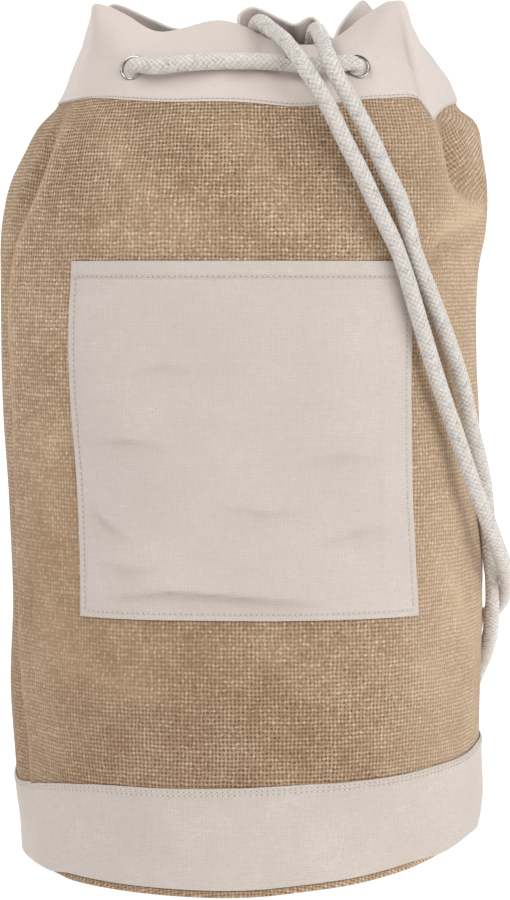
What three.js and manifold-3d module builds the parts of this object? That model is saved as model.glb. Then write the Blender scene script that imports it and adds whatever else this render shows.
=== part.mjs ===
// A cylindrical travel bag of open jute weave: round base, lower cotton band, patch pocket,
// folded cotton cuff with six ring eyelets and one braided cord that laces the mouth and
// comes down the right side as two shoulder strands. Millimetres, +Z up, the front faces -Y.
import * as THREE from "three";
import Module from "manifold-3d";

// Cloth: how far each face lies from the bag's surface, outward positive
const JUTE_OUT = -0.6; // outer face of the jute tube
const JUTE_TUCKED = -1.5; // the same where the cuff covers it
const JUTE_THICK = 1.5;
const BAND_OUT = 0.9;
const BAND_IN = -0.3;
const CUFF_HALF = 1.2; // the cuff is folded double, half its thickness
const POCKET_OUT = 1.3;
const POCKET_IN = 0.1;
const BASE_THICK = 1.6;
const RIDGE_HIGH = 4.5; // the seam ridge round the base
const RIDGE_OUT = 1.2;
const RIDGE_WIDE = 4.2;
const SEAM_GAP = 0.3; // between two pieces that are sewn together
const FLAT_SHARE = 0.62; // share of the base's radius that lies flat on the ground
const GATHER_FROM = 300; // rise at which the body starts to draw in to its gathers
const GATHER_POWER = 1.7;
const SIDE_SLACK = 0.5; // share by which the cuff swells less at the sides than at the front
const WIDEST_COLUMN = 6; // degrees between two upright lines of facets

// Cord and fittings
const CORD_RADIUS = 4.8;
const CORD_PINCHED = 3.9; // where it is squeezed in an eyelet
const CORD_PRESSED = 4.35; // where one strand lies over another
const CORD_SIDES = 10;
const CORD_TURN = 19; // degrees the cord may turn from one step to the next
const CORD_STEP = 34; // the longest step
const PINCH_REACH = 7;
const EYELET_BORE = 6.0;
const EYELET_BARREL = 7.0;
const EYELET_HOLE = 7.5;
const HOLE_SIDES = 12;
const EYELET_RIM = 8.4;
const EYELET_FLANGE = 0.9;
const KNOT = { wide: 12.0, deep: 10.5, long: 9.5, lump: 1.3 };

// The body's outline at each rise: half width left and right, half depth front and back,
// and how square its corners are towards the front and the back
const LEVELS = [
  { rise: 0, left: 139.0, right: 139.5, front: 141.5, back: 141.0, squareFront: 2.02, squareBack: 2.0 },
  { rise: 30, left: 140.8, right: 145.0, front: 143.0, back: 141.0, squareFront: 2.2, squareBack: 2.05 },
  { rise: 64, left: 143.0, right: 145.0, front: 144.0, back: 138.0, squareFront: 2.35, squareBack: 2.1 },
  { rise: 110, left: 147.0, right: 146.5, front: 144.5, back: 132.0, squareFront: 2.5, squareBack: 2.1 },
  { rise: 160, left: 144.5, right: 145.5, front: 145.0, back: 127.0, squareFront: 2.6, squareBack: 2.15 },
  { rise: 220, left: 146.0, right: 145.5, front: 145.5, back: 123.0, squareFront: 2.65, squareBack: 2.15 },
  { rise: 275, left: 149.0, right: 143.5, front: 146.0, back: 121.0, squareFront: 2.65, squareBack: 2.15 },
  { rise: 320, left: 151.0, right: 142.0, front: 145.5, back: 117.0, squareFront: 2.65, squareBack: 2.15 },
  { rise: 360, left: 151.0, right: 143.0, front: 144.5, back: 111.0, squareFront: 2.6, squareBack: 2.1 },
  { rise: 385, left: 149.5, right: 147.6, front: 142.5, back: 106.0, squareFront: 2.55, squareBack: 2.1 },
  { rise: 410, left: 144.5, right: 149.2, front: 138.5, back: 99.0, squareFront: 2.5, squareBack: 2.05 },
  { rise: 430, left: 136.0, right: 147.0, front: 132.0, back: 91.0, squareFront: 2.5, squareBack: 2.0 },
  { rise: 445, left: 127.8, right: 143.5, front: 125.0, back: 85.0, squareFront: 2.5, squareBack: 2.0 },
  { rise: 460, left: 115.5, right: 132.5, front: 117.0, back: 78.0, squareFront: 2.5, squareBack: 2.0 },
];

// The gathered mouth, one row a pleat side: where the cuff is sewn on and where its rim ends.
// Angles run from the front (0) by the right (90).
const GATHERS = [
  // angle, seam x, seam y, seam rise, rim x, rim y, rim rise
  [0, 0, -119.4, 455.5, 0, -74, 502.5],
  [14, 29.8, -119.7, 453, 31, -77, 492.3],
  [23, 49.1, -115.8, 455, 52, -79, 495.3],
  [31, 65.9, -109.6, 457.5, 68, -83, 506.5],
  [39, 82, -101.3, 459, 81, -87, 515],
  [43, 98, -95.8, 459.5, 87, -89, 516],
  [46, 104.5, -96, 453, 89.5, -89.5, 516],
  [49, 108.5, -94.3, 447, 91.2, -88, 515.7],
  [52, 111, -87, 449, 92.3, -82, 515],
  [56, 114, -77, 452.3, 93.5, -72, 514],
  [64, 120, -58.6, 457.3, 94.5, -50, 512],
  [90, 131.3, 0, 464, 95.5, -4, 509],
  [108, 118.4, 36, 465, 95, 32, 512],
  [124, 102, 66, 465, 88, 60, 518],
  [134, 87, 64, 466, 80, 36, 522],
  [140, 78, 56, 467, 73, 22, 527.5],
  [147, 68, 42, 468, 65, -4, 519],
  [153, 59, 20, 469, 57, -38, 507],
  [159, 50, -2, 469, 51, -66, 496],
  [166, 38, -9, 469, 40, -57, 509.3],
  [173, 27, -12, 469, 29, -67, 504.5],
  [177, 20, -13, 469, 21, -62, 508],
  [184, 6, -14, 469, 5, -55, 515.6],
  [188, -2, -13, 469, -3, -60, 511.5],
  [192, -9, -10, 469, -5, -67, 502],
  [203, -26, 13, 468, -24, -30, 505],
  [214, -44, 44, 467, -44, 14, 509.5],
  [224, -58, 58, 466, -58, 22, 515.5],
  [236, -80, 74, 465, -82, 52, 528],
  [250, -98, 58, 464, -89, 42, 523],
  [268, -113.8, 3.9, 461, -91, 6, 514],
  [286, -111.4, -31.8, 460, -90.5, -32, 513],
  [302, -102.3, -63.5, 459.5, -89.5, -66, 512],
  [312, -90.9, -81.9, 460, -87, -86, 514.5],
  [321, -78, -96.3, 459, -78, -84, 512.5],
  [328, -66, -105.5, 457.5, -70, -82, 508.6],
  [339, -44.1, -114.9, 456, -50, -78, 498.8],
  [351, -18.8, -118.7, 456, -18, -74, 505.7],
];

// The upright fold left of the pocket
const FOLD = { low: -58, high: -62, from: 90, to: 470, out: 1.5, wide: 6 };

// The base's edge and the lower band's top seam, which both rise and fall round the bag
const HEMS = [
  // angle, rise of the base's edge, rise of the band's top
  [0, 0.5, 65], [14, 3, 66.7], [26, 5, 67.2], [37, 8, 68], [48, 11.5, 70.3],
  [60, 15.5, 72], [70, 17.5, 74], [90, 14, 73], [115, 5, 70], [140, 0, 67],
  [180, 0, 66], [230, 0, 64], [262, 0.5, 57], [280, 1.5, 51], [292, 2, 50.8],
  [306, 1, 56.6], [314, 0, 59.8], [326, 0, 63], [341, 0, 64],
];

// The patch pocket: its rows from the bottom edge up, with the angles of its two sides
const POCKET = [
  { rise: 161.5, left: -37.3, right: 39.4 },
  { rise: 187, left: -37.2, right: 38.8 },
  { rise: 216, left: -37.4, right: 37.9 },
  { rise: 246, left: -37.7, right: 37.2 },
  { rise: 290, left: -38.5, right: 37.2 },
  { rise: 329, left: -39.0, right: 37.6 },
  { rise: 365.3, left: -39.0, right: 36.9 },
];

// Eyelets by angle; up is 0 to 1 on the lower band and 2 to 3 on the cuff
const EYELETS = [
  { name: "eyelet_front_left", at: 328, up: 2.375 },
  { name: "eyelet_front_right", at: 31, up: 2.39 },
  { name: "eyelet_side_right", at: 116, up: 2.45 },
  { name: "eyelet_back_right", at: 167, up: 2.45 },
  { name: "eyelet_back_left", at: 184, up: 2.45 },
  { name: "eyelet_side_left", at: 246, up: 2.45 },
  { name: "eyelet_band_rear", at: 134, up: 0.52 },
  { name: "eyelet_band_fore", at: 114, up: 0.52 },
];

// Facet rows up the bag: 0 to 1 is the lower band, 1 to 2 the jute above it, 2 to 3 the cuff
const BAND_ROWS = [0, 0.4, 1];
const BODY_ROWS = [1.14, 1.3, 1.46, 1.61, 1.75, 1.86, 1.94];
const TUCKED_ROWS = [1.985, 2, 2.14];
const CUFF_ROWS = [2, 2.16, 2.36, 2.58, 2.8, 3];

// ---------------------------------------------------------------- curves and surfaces
const clamp = (v, a, b) => Math.min(b, Math.max(a, v));
const smooth = (v) => {
  const t = clamp(v, 0, 1);
  return t * t * (3 - 2 * t);
};
const rad = Math.PI / 180;

function hermite(xs, ys, v) {
  const n = xs.length;
  const x = clamp(v, xs[0], xs[n - 1]);
  let i = 0;
  while (i < n - 2 && x >= xs[i + 1]) i++;
  const slope = (k) =>
    k === 0
      ? (ys[1] - ys[0]) / (xs[1] - xs[0])
      : k === n - 1
        ? (ys[n - 1] - ys[n - 2]) / (xs[n - 1] - xs[n - 2])
        : (ys[k + 1] - ys[k - 1]) / (xs[k + 1] - xs[k - 1]);
  const h = xs[i + 1] - xs[i];
  const t = (x - xs[i]) / h;
  const a = 2 * t ** 3 - 3 * t ** 2 + 1;
  const b = t ** 3 - 2 * t ** 2 + t;
  const d = t ** 3 - t ** 2;
  return a * ys[i] + b * h * slope(i) + (1 - a) * ys[i + 1] + d * h * slope(i + 1);
}

function aroundTable(rows, column) {
  const n = rows.length;
  const xs = [rows[n - 2][0] - 360, rows[n - 1][0] - 360];
  const ys = [rows[n - 2][column], rows[n - 1][column]];
  for (const r of rows) {
    xs.push(r[0]);
    ys.push(r[column]);
  }
  xs.push(rows[0][0] + 360, rows[1][0] + 360);
  ys.push(rows[0][column], rows[1][column]);
  return (at) => hermite(xs, ys, ((at % 360) + 360) % 360);
}

const seamX = aroundTable(GATHERS, 1);
const seamY = aroundTable(GATHERS, 2);
const seamRise = aroundTable(GATHERS, 3);
const rimX = aroundTable(GATHERS, 4);
const rimY = aroundTable(GATHERS, 5);
const rimRise = aroundTable(GATHERS, 6);
const footTable = aroundTable(HEMS, 1);
const bandTop = aroundTable(HEMS, 2);
const foot = (at) => Math.max(0, footTable(at));

const RISES = LEVELS.map((l) => l.rise);
const COLUMN = {};
for (const key of Object.keys(LEVELS[0])) COLUMN[key] = LEVELS.map((l) => l[key]);
const level = (key, z) => hermite(RISES, COLUMN[key], z);

function radius(at, z) {
  const s = Math.sin(at * rad);
  const c = Math.cos(at * rad);
  const a = level(s > 0 ? "right" : "left", z);
  const b = level(c > 0 ? "front" : "back", z);
  const back = level("squareBack", z);
  const n = back + (level("squareFront", z) - back) * smooth(0.5 + 0.5 * c);
  return (Math.abs(s / a) ** n + Math.abs(c / b) ** n) ** (-1 / n);
}

function foldOut(at, z) {
  const middle = FOLD.low + ((FOLD.high - FOLD.low) * (z - FOLD.from)) / (FOLD.to - FOLD.from);
  const off = ((((at - middle + 180) % 360) + 360) % 360) - 180;
  return FOLD.out * Math.exp(-((off / FOLD.wide) ** 2)) * smooth((z - FOLD.from) / 30) * smooth((FOLD.to - z) / 30);
}

function plan(at, z, out = 0) {
  const r = radius(at, z) + out + foldOut(at, z);
  return new THREE.Vector3(r * Math.sin(at * rad), -r * Math.cos(at * rad), z);
}

const seam = (at) => new THREE.Vector3(seamX(at), seamY(at), seamRise(at));
const rim = (at) => new THREE.Vector3(rimX(at), rimY(at), rimRise(at));

function body(at, z, out = 0) {
  const s = seam(at);
  const shift = s.clone().sub(plan(at, s.z)).setZ(0);
  const g = clamp((z - GATHER_FROM) / (s.z - GATHER_FROM), 0, 1.2) ** GATHER_POWER;
  return plan(at, z, out).addScaledVector(shift, g);
}

// How much the cuff swells above its seam: full at the front, little at the sides
const bulge = (at) => 1 - SIDE_SLACK * smooth((Math.abs(((((at + 180) % 360) + 360) % 360) - 180) - 40) / 12);

function cuff(at, v) {
  const p0 = seam(at);
  const p1 = rim(at);
  const chord = p1.clone().sub(p0);
  const t0 = body(at, p0.z).sub(body(at, p0.z - 4)).setLength(chord.length() * bulge(at));
  const a = 2 * v ** 3 - 3 * v ** 2 + 1;
  return p0
    .multiplyScalar(a)
    .addScaledVector(t0, v ** 3 - 2 * v ** 2 + v)
    .addScaledVector(p1, 1 - a)
    .addScaledVector(chord, v ** 3 - v ** 2);
}

// The bag's surface: up 0 at the base's ridge, 1 at the band's top, 2 at the cuff's seam, 3 at the rim
function skin(at, up) {
  if (up > 2) return cuff(at, Math.min(1, up - 2));
  const low = foot(at) + RIDGE_HIGH + SEAM_GAP;
  const mid = bandTop(at);
  const z = up < 1 ? low + (mid - low) * up : mid + (seamRise(at) - mid) * (up - 1);
  return body(at, z);
}

function outward(at, up) {
  const across = skin(at + 1, up).sub(skin(at - 1, up));
  const along = skin(at, clamp(up + 0.02, 0, 3)).sub(skin(at, clamp(up - 0.02, 0, 3)));
  return across.cross(along).normalize();
}

const on = (at, up, off) => skin(at, up).addScaledVector(outward(at, up), off);

// ---------------------------------------------------------------- solids
const wasm = await Module();
wasm.setup();

function geometry(points, faces) {
  const g = new THREE.BufferGeometry();
  g.setAttribute("position", new THREE.BufferAttribute(new Float32Array(points.flatMap((p) => [p.x, p.y, p.z])), 3));
  g.setIndex(faces);
  let six = 0;
  for (let i = 0; i < faces.length; i += 3) {
    const [a, b, c] = [points[faces[i]], points[faces[i + 1]], points[faces[i + 2]]];
    six += a.dot(b.clone().cross(c));
  }
  if (six < 0)
    for (let i = 0; i < faces.length; i += 3) [faces[i + 1], faces[i + 2]] = [faces[i + 2], faces[i + 1]];
  g.setIndex(faces);
  return g;
}

// A sheet between two grids of points, outer and inner, closed along its edges
function sheet(outer, inner, closed) {
  const rows = outer.length;
  const columns = outer[0].length;
  const points = [...outer.flat(), ...inner.flat()];
  const half = rows * columns;
  const faces = [];
  const quad = (a, b, c, d) => faces.push(a, b, c, a, c, d);
  const id = (side, r, c) => side * half + r * columns + (c % columns);
  const spans = closed ? columns : columns - 1;
  for (let r = 0; r < rows - 1; r++)
    for (let c = 0; c < spans; c++) {
      quad(id(0, r, c), id(0, r, c + 1), id(0, r + 1, c + 1), id(0, r + 1, c));
      quad(id(1, r, c), id(1, r + 1, c), id(1, r + 1, c + 1), id(1, r, c + 1));
    }
  for (let c = 0; c < spans; c++) {
    quad(id(0, 0, c), id(1, 0, c), id(1, 0, c + 1), id(0, 0, c + 1));
    quad(id(0, rows - 1, c), id(0, rows - 1, c + 1), id(1, rows - 1, c + 1), id(1, rows - 1, c));
  }
  if (!closed)
    for (let r = 0; r < rows - 1; r++) {
      quad(id(0, r, 0), id(0, r + 1, 0), id(1, r + 1, 0), id(1, r, 0));
      quad(id(0, r, columns - 1), id(1, r, columns - 1), id(1, r + 1, columns - 1), id(0, r + 1, columns - 1));
    }
  return geometry(points, faces);
}

// Upright lines of facets, the same for every cloth piece, so that layers stay a little apart
const COLUMNS = GATHERS.flatMap((row, i) => {
  const next = i + 1 < GATHERS.length ? GATHERS[i + 1][0] : 360;
  const parts = Math.ceil((next - row[0]) / WIDEST_COLUMN - 1e-9);
  return Array.from({ length: parts }, (_, k) => row[0] + ((next - row[0]) * k) / parts);
});

const shell = (rows) => sheet(
  rows.map(({ up, out }) => COLUMNS.map((at) => on(at, up, out))),
  rows.map(({ up, in: inner }) => COLUMNS.map((at) => on(at, up, inner))),
  true,
);

function makeJute() {
  const row = (out) => (up) => ({ up, out, in: out - JUTE_THICK });
  return shell([...[...BAND_ROWS, ...BODY_ROWS].map(row(JUTE_OUT)), ...TUCKED_ROWS.map(row(JUTE_TUCKED))]);
}
const makeBand = () => shell(BAND_ROWS.map((up) => ({ up, out: BAND_OUT, in: BAND_IN })));
const makeCuff = () => shell(CUFF_ROWS.map((up) => ({ up, out: CUFF_HALF, in: -CUFF_HALF })));

function makePocket() {
  const rises = POCKET.map((p) => p.rise);
  const side = (key, z) => hermite(rises, POCKET.map((p) => p[key]), z);
  const between = COLUMNS.map((at) => (at > 180 ? at - 360 : at))
    .filter((at) => at > -36.5 && at < 36)
    .sort((a, b) => a - b);
  // Its rows follow the jute's rows at the middle of the pocket
  const low = bandTop(0);
  const high = seamRise(0);
  const shares = BODY_ROWS.map((up) => low + (high - low) * (up - 1));
  const rows = [rises[0], ...shares.filter((z) => z > rises[0] + 6 && z < rises.at(-1) - 6), rises.at(-1)];
  const grid = (off) =>
    rows.map((z) =>
      [side("left", z), ...between, side("right", z)].map((at) => {
        const up = 1 + (z - bandTop(at)) / (seamRise(at) - bandTop(at));
        return on(at, up, off);
      }),
    );
  return sheet(grid(POCKET_OUT), grid(POCKET_IN), false);
}

// The base: flat in the middle, its edge lifted as far as the hem table says, with a seam ridge
function makeBase() {
  const under = (at, share) => foot(at) * smooth((share - FLAT_SHARE) / (1 - FLAT_SHARE));
  const edge = (at, out, rise) => {
    const p = plan(at, foot(at) + 2.4, out);
    return p.setZ(foot(at) + rise);
  };
  const inner = (at, share, lift) => {
    const p = plan(at, foot(at) + 2.4, 0);
    return new THREE.Vector3(p.x * share, p.y * share, under(at, share) + lift);
  };
  const loop = (at) => [
    inner(at, FLAT_SHARE, 0),
    inner(at, 0.82, 0),
    edge(at, -RIDGE_WIDE, -0.1),
    edge(at, RIDGE_OUT - 1.4, 0.2),
    edge(at, RIDGE_OUT, 1.4),
    edge(at, RIDGE_OUT, RIDGE_HIGH - 1.2),
    edge(at, RIDGE_OUT - 1.2, RIDGE_HIGH),
    edge(at, RIDGE_OUT - RIDGE_WIDE + 0.8, RIDGE_HIGH),
    edge(at, RIDGE_OUT - RIDGE_WIDE, RIDGE_HIGH - 1.4),
    edge(at, RIDGE_OUT - RIDGE_WIDE - 0.4, BASE_THICK),
    inner(at, 0.82, BASE_THICK),
    inner(at, FLAT_SHARE, BASE_THICK),
  ];
  const loops = COLUMNS.map(loop);
  for (const l of loops) for (const p of l) p.z = Math.max(p.z, 0);
  const per = loops[0].length;
  const points = [...loops.flat(), new THREE.Vector3(0, 0, 0), new THREE.Vector3(0, 0, BASE_THICK)];
  const bottom = points.length - 2;
  const top = points.length - 1;
  const faces = [];
  const n = loops.length;
  for (let i = 0; i < n; i++) {
    const j = (i + 1) % n;
    for (let k = 0; k < per - 1; k++) {
      const [a, b, c, d] = [i * per + k, j * per + k, j * per + k + 1, i * per + k + 1];
      faces.push(a, b, c, a, c, d);
    }
    faces.push(bottom, j * per, i * per);
    faces.push(top, i * per + per - 1, j * per + per - 1);
  }
  return geometry(points, faces);
}

// Turned profile (radius, height) about an axis through a point
function turned(profile, centre, axis, sides = 24) {
  const pts = profile.map(([r, h]) => new THREE.Vector2(r, h));
  const g = new THREE.LatheGeometry([...pts, pts[0].clone()], sides);
  return welded(g, centre, axis);
}

function welded(g, centre, axis) {
  const turn = new THREE.Quaternion().setFromUnitVectors(new THREE.Vector3(0, 1, 0), axis);
  const p = g.getAttribute("position");
  const at = new Map();
  const points = [];
  const map = [];
  for (let i = 0; i < p.count; i++) {
    const v = new THREE.Vector3().fromBufferAttribute(p, i);
    const key = [v.x, v.y, v.z].map((c) => Math.round(c * 1e4)).join();
    if (!at.has(key)) {
      at.set(key, points.length);
      points.push(v.applyQuaternion(turn).add(centre));
    }
    map.push(at.get(key));
  }
  const faces = [];
  const index = g.index ? g.index.array : map.map((_, i) => i);
  for (let i = 0; i < index.length; i += 3) {
    const [a, b, c] = [map[index[i]], map[index[i + 1]], map[index[i + 2]]];
    if (a !== b && b !== c && a !== c) faces.push(a, b, c);
  }
  return geometry(points, faces);
}

const solid = (g) =>
  new wasm.Manifold(
    new wasm.Mesh({ numProp: 3, vertProperties: g.getAttribute("position").array, triVerts: new Uint32Array(g.index.array) }),
  );

function unsolid(made) {
  const m = made.getMesh();
  const g = new THREE.BufferGeometry();
  const n = m.numProp;
  const v = new Float32Array(m.numVert * 3);
  for (let i = 0; i < m.numVert; i++) for (let k = 0; k < 3; k++) v[i * 3 + k] = m.vertProperties[i * n + k];
  g.setAttribute("position", new THREE.BufferAttribute(v, 3));
  g.setIndex(Array.from(m.triVerts));
  return g;
}

const rod = (r, low, high, centre, axis, sides = HOLE_SIDES) =>
  turned([[0, low], [r, low], [r, high], [0, high]], centre, axis, sides);

// ---------------------------------------------------------------- eyelets
const seats = {};
for (const e of EYELETS) {
  const cuffSide = e.up > 2;
  const middle = cuffSide ? 0 : (BAND_OUT + JUTE_OUT - JUTE_THICK) / 2;
  const half = cuffSide ? CUFF_HALF : (BAND_OUT - JUTE_OUT + JUTE_THICK) / 2;
  const face = half + 0.4;
  seats[e.name] = { centre: on(e.at, e.up, middle), axis: outward(e.at, e.up), half, face, cuffSide };
}

const pierce = (g, chosen) => {
  let made = solid(g);
  for (const s of Object.values(seats)) {
    if (!chosen(s)) continue;
    made = made.subtract(solid(rod(EYELET_HOLE, -8, 8, s.centre, s.axis)));
    made = made.subtract(solid(rod(EYELET_RIM + 0.5, s.half + 0.1, s.half + 5, s.centre, s.axis)));
    made = made.subtract(solid(rod(EYELET_RIM + 0.5, -s.half - 5, -s.half - 0.1, s.centre, s.axis)));
  }
  return unsolid(made);
};

const eyeletOf = (s) =>
  turned(
    [
      [EYELET_BORE + 0.3, -s.face - EYELET_FLANGE],
      [EYELET_RIM - 0.3, -s.face - EYELET_FLANGE],
      [EYELET_RIM, -s.face - EYELET_FLANGE * 0.6],
      [EYELET_RIM, -s.face],
      [EYELET_BARREL, -s.face],
      [EYELET_BARREL, s.face],
      [EYELET_RIM, s.face],
      [EYELET_RIM, s.face + EYELET_FLANGE * 0.6],
      [EYELET_RIM - 0.3, s.face + EYELET_FLANGE],
      [EYELET_BORE + 0.3, s.face + EYELET_FLANGE],
      [EYELET_BORE, s.face + EYELET_FLANGE - 0.4],
      [EYELET_BORE, -s.face - EYELET_FLANGE + 0.4],
    ],
    s.centre,
    s.axis,
  );

// ---------------------------------------------------------------- cord
// Where each strand runs over the open jute, from the picture's own lines
const STRAND_OVER = [
  // x, y, rise: the strand that ends in the rear band eyelet, from its crossing up to the mouth
  [157.6, 2, 154.5], [159.2, -30, 165.5], [155.4, -62, 181], [147.6, -84, 200], [138.6, -99.5, 221.5],
  [130.3, -109, 241.5], [121.4, -114.0, 266.8], [110, -123.5, 297.8], [100.1, -129.5, 328.9],
  [87.0, -136.3, 369.3], [75.3, -139.5, 393.9], [66.1, -140.5, 413.5], [56.1, -139.3, 433.1],
  [46, -136.4, 453.8], [34.5, -129.5, 473.3], [25, -110.0, 489.6], [15.5, -90.0, 502.3],
];
const STRAND_UNDER = [
  // x, y, rise: the other strand, from the mouth down to its crossing
  [44.8, -108.8, 489.8], [50, -129.7, 473.3], [60.7, -134.0, 453.9], [71.4, -135.0, 433.7],
  [79.3, -135.0, 416.5], [87.8, -132.7, 399.8], [96.9, -130.0, 369.3], [113.3, -117.1, 328.7],
  [125, -104, 297.1], [133.0, -91.6, 265.5], [141.0, -73.6, 236.4], [146.3, -54, 200],
  [149.6, -37, 170], [152.0, -12, 140], [150.9, 15, 119], [147.0, 37, 101], [142.6, 50.8, 84],
];
const FRONT_RUN = [
  // x, y, rise: between the two front eyelets
  [-36, -110.6, 478.2], [-14, -110.5, 479.4], [8.5, -108.8, 479.5], [26, -106.0, 478.2], [36, -105.4, 477.4],
];

const unit = (v) => v.clone().normalize();
const across = (v, axis) => unit(v.clone().addScaledVector(axis, -v.dot(axis)));

function cordRoute() {
  const route = [];
  const put = (...points) => route.push(...points);
  const xyz = ([x, y, z]) => new THREE.Vector3(x, y, z);
  const tilted = (s, towards, deg) =>
    unit(s.axis.clone().multiplyScalar(Math.cos(deg * rad)).addScaledVector(towards, Math.sin(deg * rad)));

  // Through an eyelet: leaves it outside towards one way and inside towards another
  function through(s, outTo, inTo, { deg = 22, outHigh = 8.2, inDeep = 9.6, outFar = 16, inFar = 15.5, toInside = false } = {}) {
    const o = across(outTo, s.axis);
    const i = across(inTo, s.axis);
    const lean = tilted(s, o, deg);
    const points = [
      s.centre.clone().addScaledVector(i, inFar).addScaledVector(s.axis, -inDeep),
      s.centre.clone().addScaledVector(lean, -7.0),
      s.centre.clone(),
      s.centre.clone().addScaledVector(lean, 7.2),
      s.centre.clone().addScaledVector(o, outFar).addScaledVector(s.axis, outHigh),
    ];
    put(...(toInside ? points.reverse() : points));
  }

  // One end, knotted inside the band, out and round the right side
  let s = seats.eyelet_band_rear;
  let o = across(on(126, 1.0, 0).sub(s.centre), s.axis);
  let lean = tilted(s, o, 17);
  const endA = { end: s.centre.clone().addScaledVector(lean, -13), way: lean.clone().negate() };
  put(endA.end.clone(), s.centre.clone().addScaledVector(lean, -7), s.centre.clone());
  put(s.centre.clone().addScaledVector(lean, 7.4), s.centre.clone().addScaledVector(o, 17).addScaledVector(s.axis, 8.6));
  for (const [at, up, off] of [[125.5, 1.0, 7.6], [119, 1.065, 6.9], [112, 1.122, 6.7], [105, 1.166, 7.4], [98, 1.196, 9.6]])
    put(on(at, up, off));
  put(...STRAND_OVER.map(xyz));

  // Over the rim and out through the left one of the two back eyelets
  put(new THREE.Vector3(8.0, -78.5, 508.8), new THREE.Vector3(5.8, -69.0, 505.5), new THREE.Vector3(5.5, -61.0, 495.0));
  s = seats.eyelet_back_left;
  o = across(on(203, 2.5, 0).sub(s.centre), s.axis);
  lean = tilted(s, o, 22);
  put(s.centre.clone().addScaledVector(s.axis, -11).add(new THREE.Vector3(0, -5.5, 0.8)));
  put(s.centre.clone().addScaledVector(lean, -6.5), s.centre.clone(), s.centre.clone().addScaledVector(lean, 8));
  put(s.centre.clone().addScaledVector(o, 15).addScaledVector(s.axis, 13.5));
  for (const [at, up, off] of [[209, 2.47, 9], [216, 2.46, 8.4], [222, 2.45, 8.2], [228, 2.45, 8.6], [233, 2.45, 8.8]])
    put(on(at, up, off));
  s = seats.eyelet_side_left;
  through(s, on(233, 2.45, 0).sub(s.centre), new THREE.Vector3(-88, -30, 480).sub(s.centre), { toInside: true, outFar: 15, inDeep: 11 });
  put(new THREE.Vector3(-91, 2, 481), new THREE.Vector3(-91.5, -36, 480.3), new THREE.Vector3(-84.5, -62, 480));
  s = seats.eyelet_front_left;
  through(s, new THREE.Vector3(1, 0.1, -0.3), new THREE.Vector3(-84.5, -62, 480).sub(s.centre), { deg: 28, inDeep: 9.5, outHigh: 7.7 });
  put(...FRONT_RUN.map(xyz));
  s = seats.eyelet_front_right;
  through(s, new THREE.Vector3(-1, 0.1, -0.3), new THREE.Vector3(96, -68, 480).sub(s.centre), { deg: 28, toInside: true, inDeep: 9.5, outHigh: 7.7, outFar: 15 });
  put(new THREE.Vector3(95.5, -66, 481), new THREE.Vector3(103, -38, 481.5), new THREE.Vector3(103, 2, 482));
  s = seats.eyelet_side_right;
  through(s, on(128, 2.45, 0).sub(s.centre), new THREE.Vector3(103, -10, 482).sub(s.centre), { outFar: 15, inDeep: 11 });
  for (const [at, up, off] of [[128, 2.45, 9.4], [134, 2.45, 9], [139, 2.45, 8.6], [145, 2.45, 8.4], [150, 2.46, 8.6]])
    put(on(at, up, off));
  s = seats.eyelet_back_right;
  o = across(on(155, 2.5, 0).sub(s.centre), s.axis);
  lean = tilted(s, o, 22);
  put(s.centre.clone().addScaledVector(o, 15).addScaledVector(s.axis, 13.5), s.centre.clone().addScaledVector(lean, 8), s.centre.clone());
  put(s.centre.clone().addScaledVector(lean, -6.5), s.centre.clone().addScaledVector(s.axis, -11).add(new THREE.Vector3(0.3, -5.5, 0.8)));
  put(new THREE.Vector3(39, -60, 486.5), new THREE.Vector3(39.6, -67.8, 497.5), new THREE.Vector3(40.6, -77, 503.4), new THREE.Vector3(42.4, -91, 501.0));
  put(...STRAND_UNDER.map(xyz));

  // The other end, in at the band's second eyelet, knotted inside
  s = seats.eyelet_band_fore;
  o = across(on(112, 1.0, 0).sub(s.centre), s.axis);
  lean = tilted(s, o, 17);
  const endB = { end: s.centre.clone().addScaledVector(lean, -13), way: lean.clone().negate() };
  put(s.centre.clone().addScaledVector(o, 17).addScaledVector(s.axis, 8.8), s.centre.clone().addScaledVector(lean, 7.4), s.centre.clone());
  put(s.centre.clone().addScaledVector(lean, -7), endB.end.clone());
  return { curve: new THREE.CatmullRomCurve3(route, false, "centripetal"), ends: [endA, endB] };
}

// The cord's route as a curve whose even steps are chosen stations, closer where it bends
class Stepped extends THREE.Curve {
  constructor(points, ways) {
    super();
    this.points = points;
    this.ways = ways;
  }
  index(u) {
    return Math.round(clamp(u, 0, 1) * (this.points.length - 1));
  }
  getPointAt(u, target = new THREE.Vector3()) {
    return target.copy(this.points[this.index(u)]);
  }
  getPoint(u, target) {
    return this.getPointAt(u, target);
  }
  getTangentAt(u, target = new THREE.Vector3()) {
    return target.copy(this.ways[this.index(u)]);
  }
  getSpacedPoints() {
    return this.points.map((p) => p.clone());
  }
}

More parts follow.
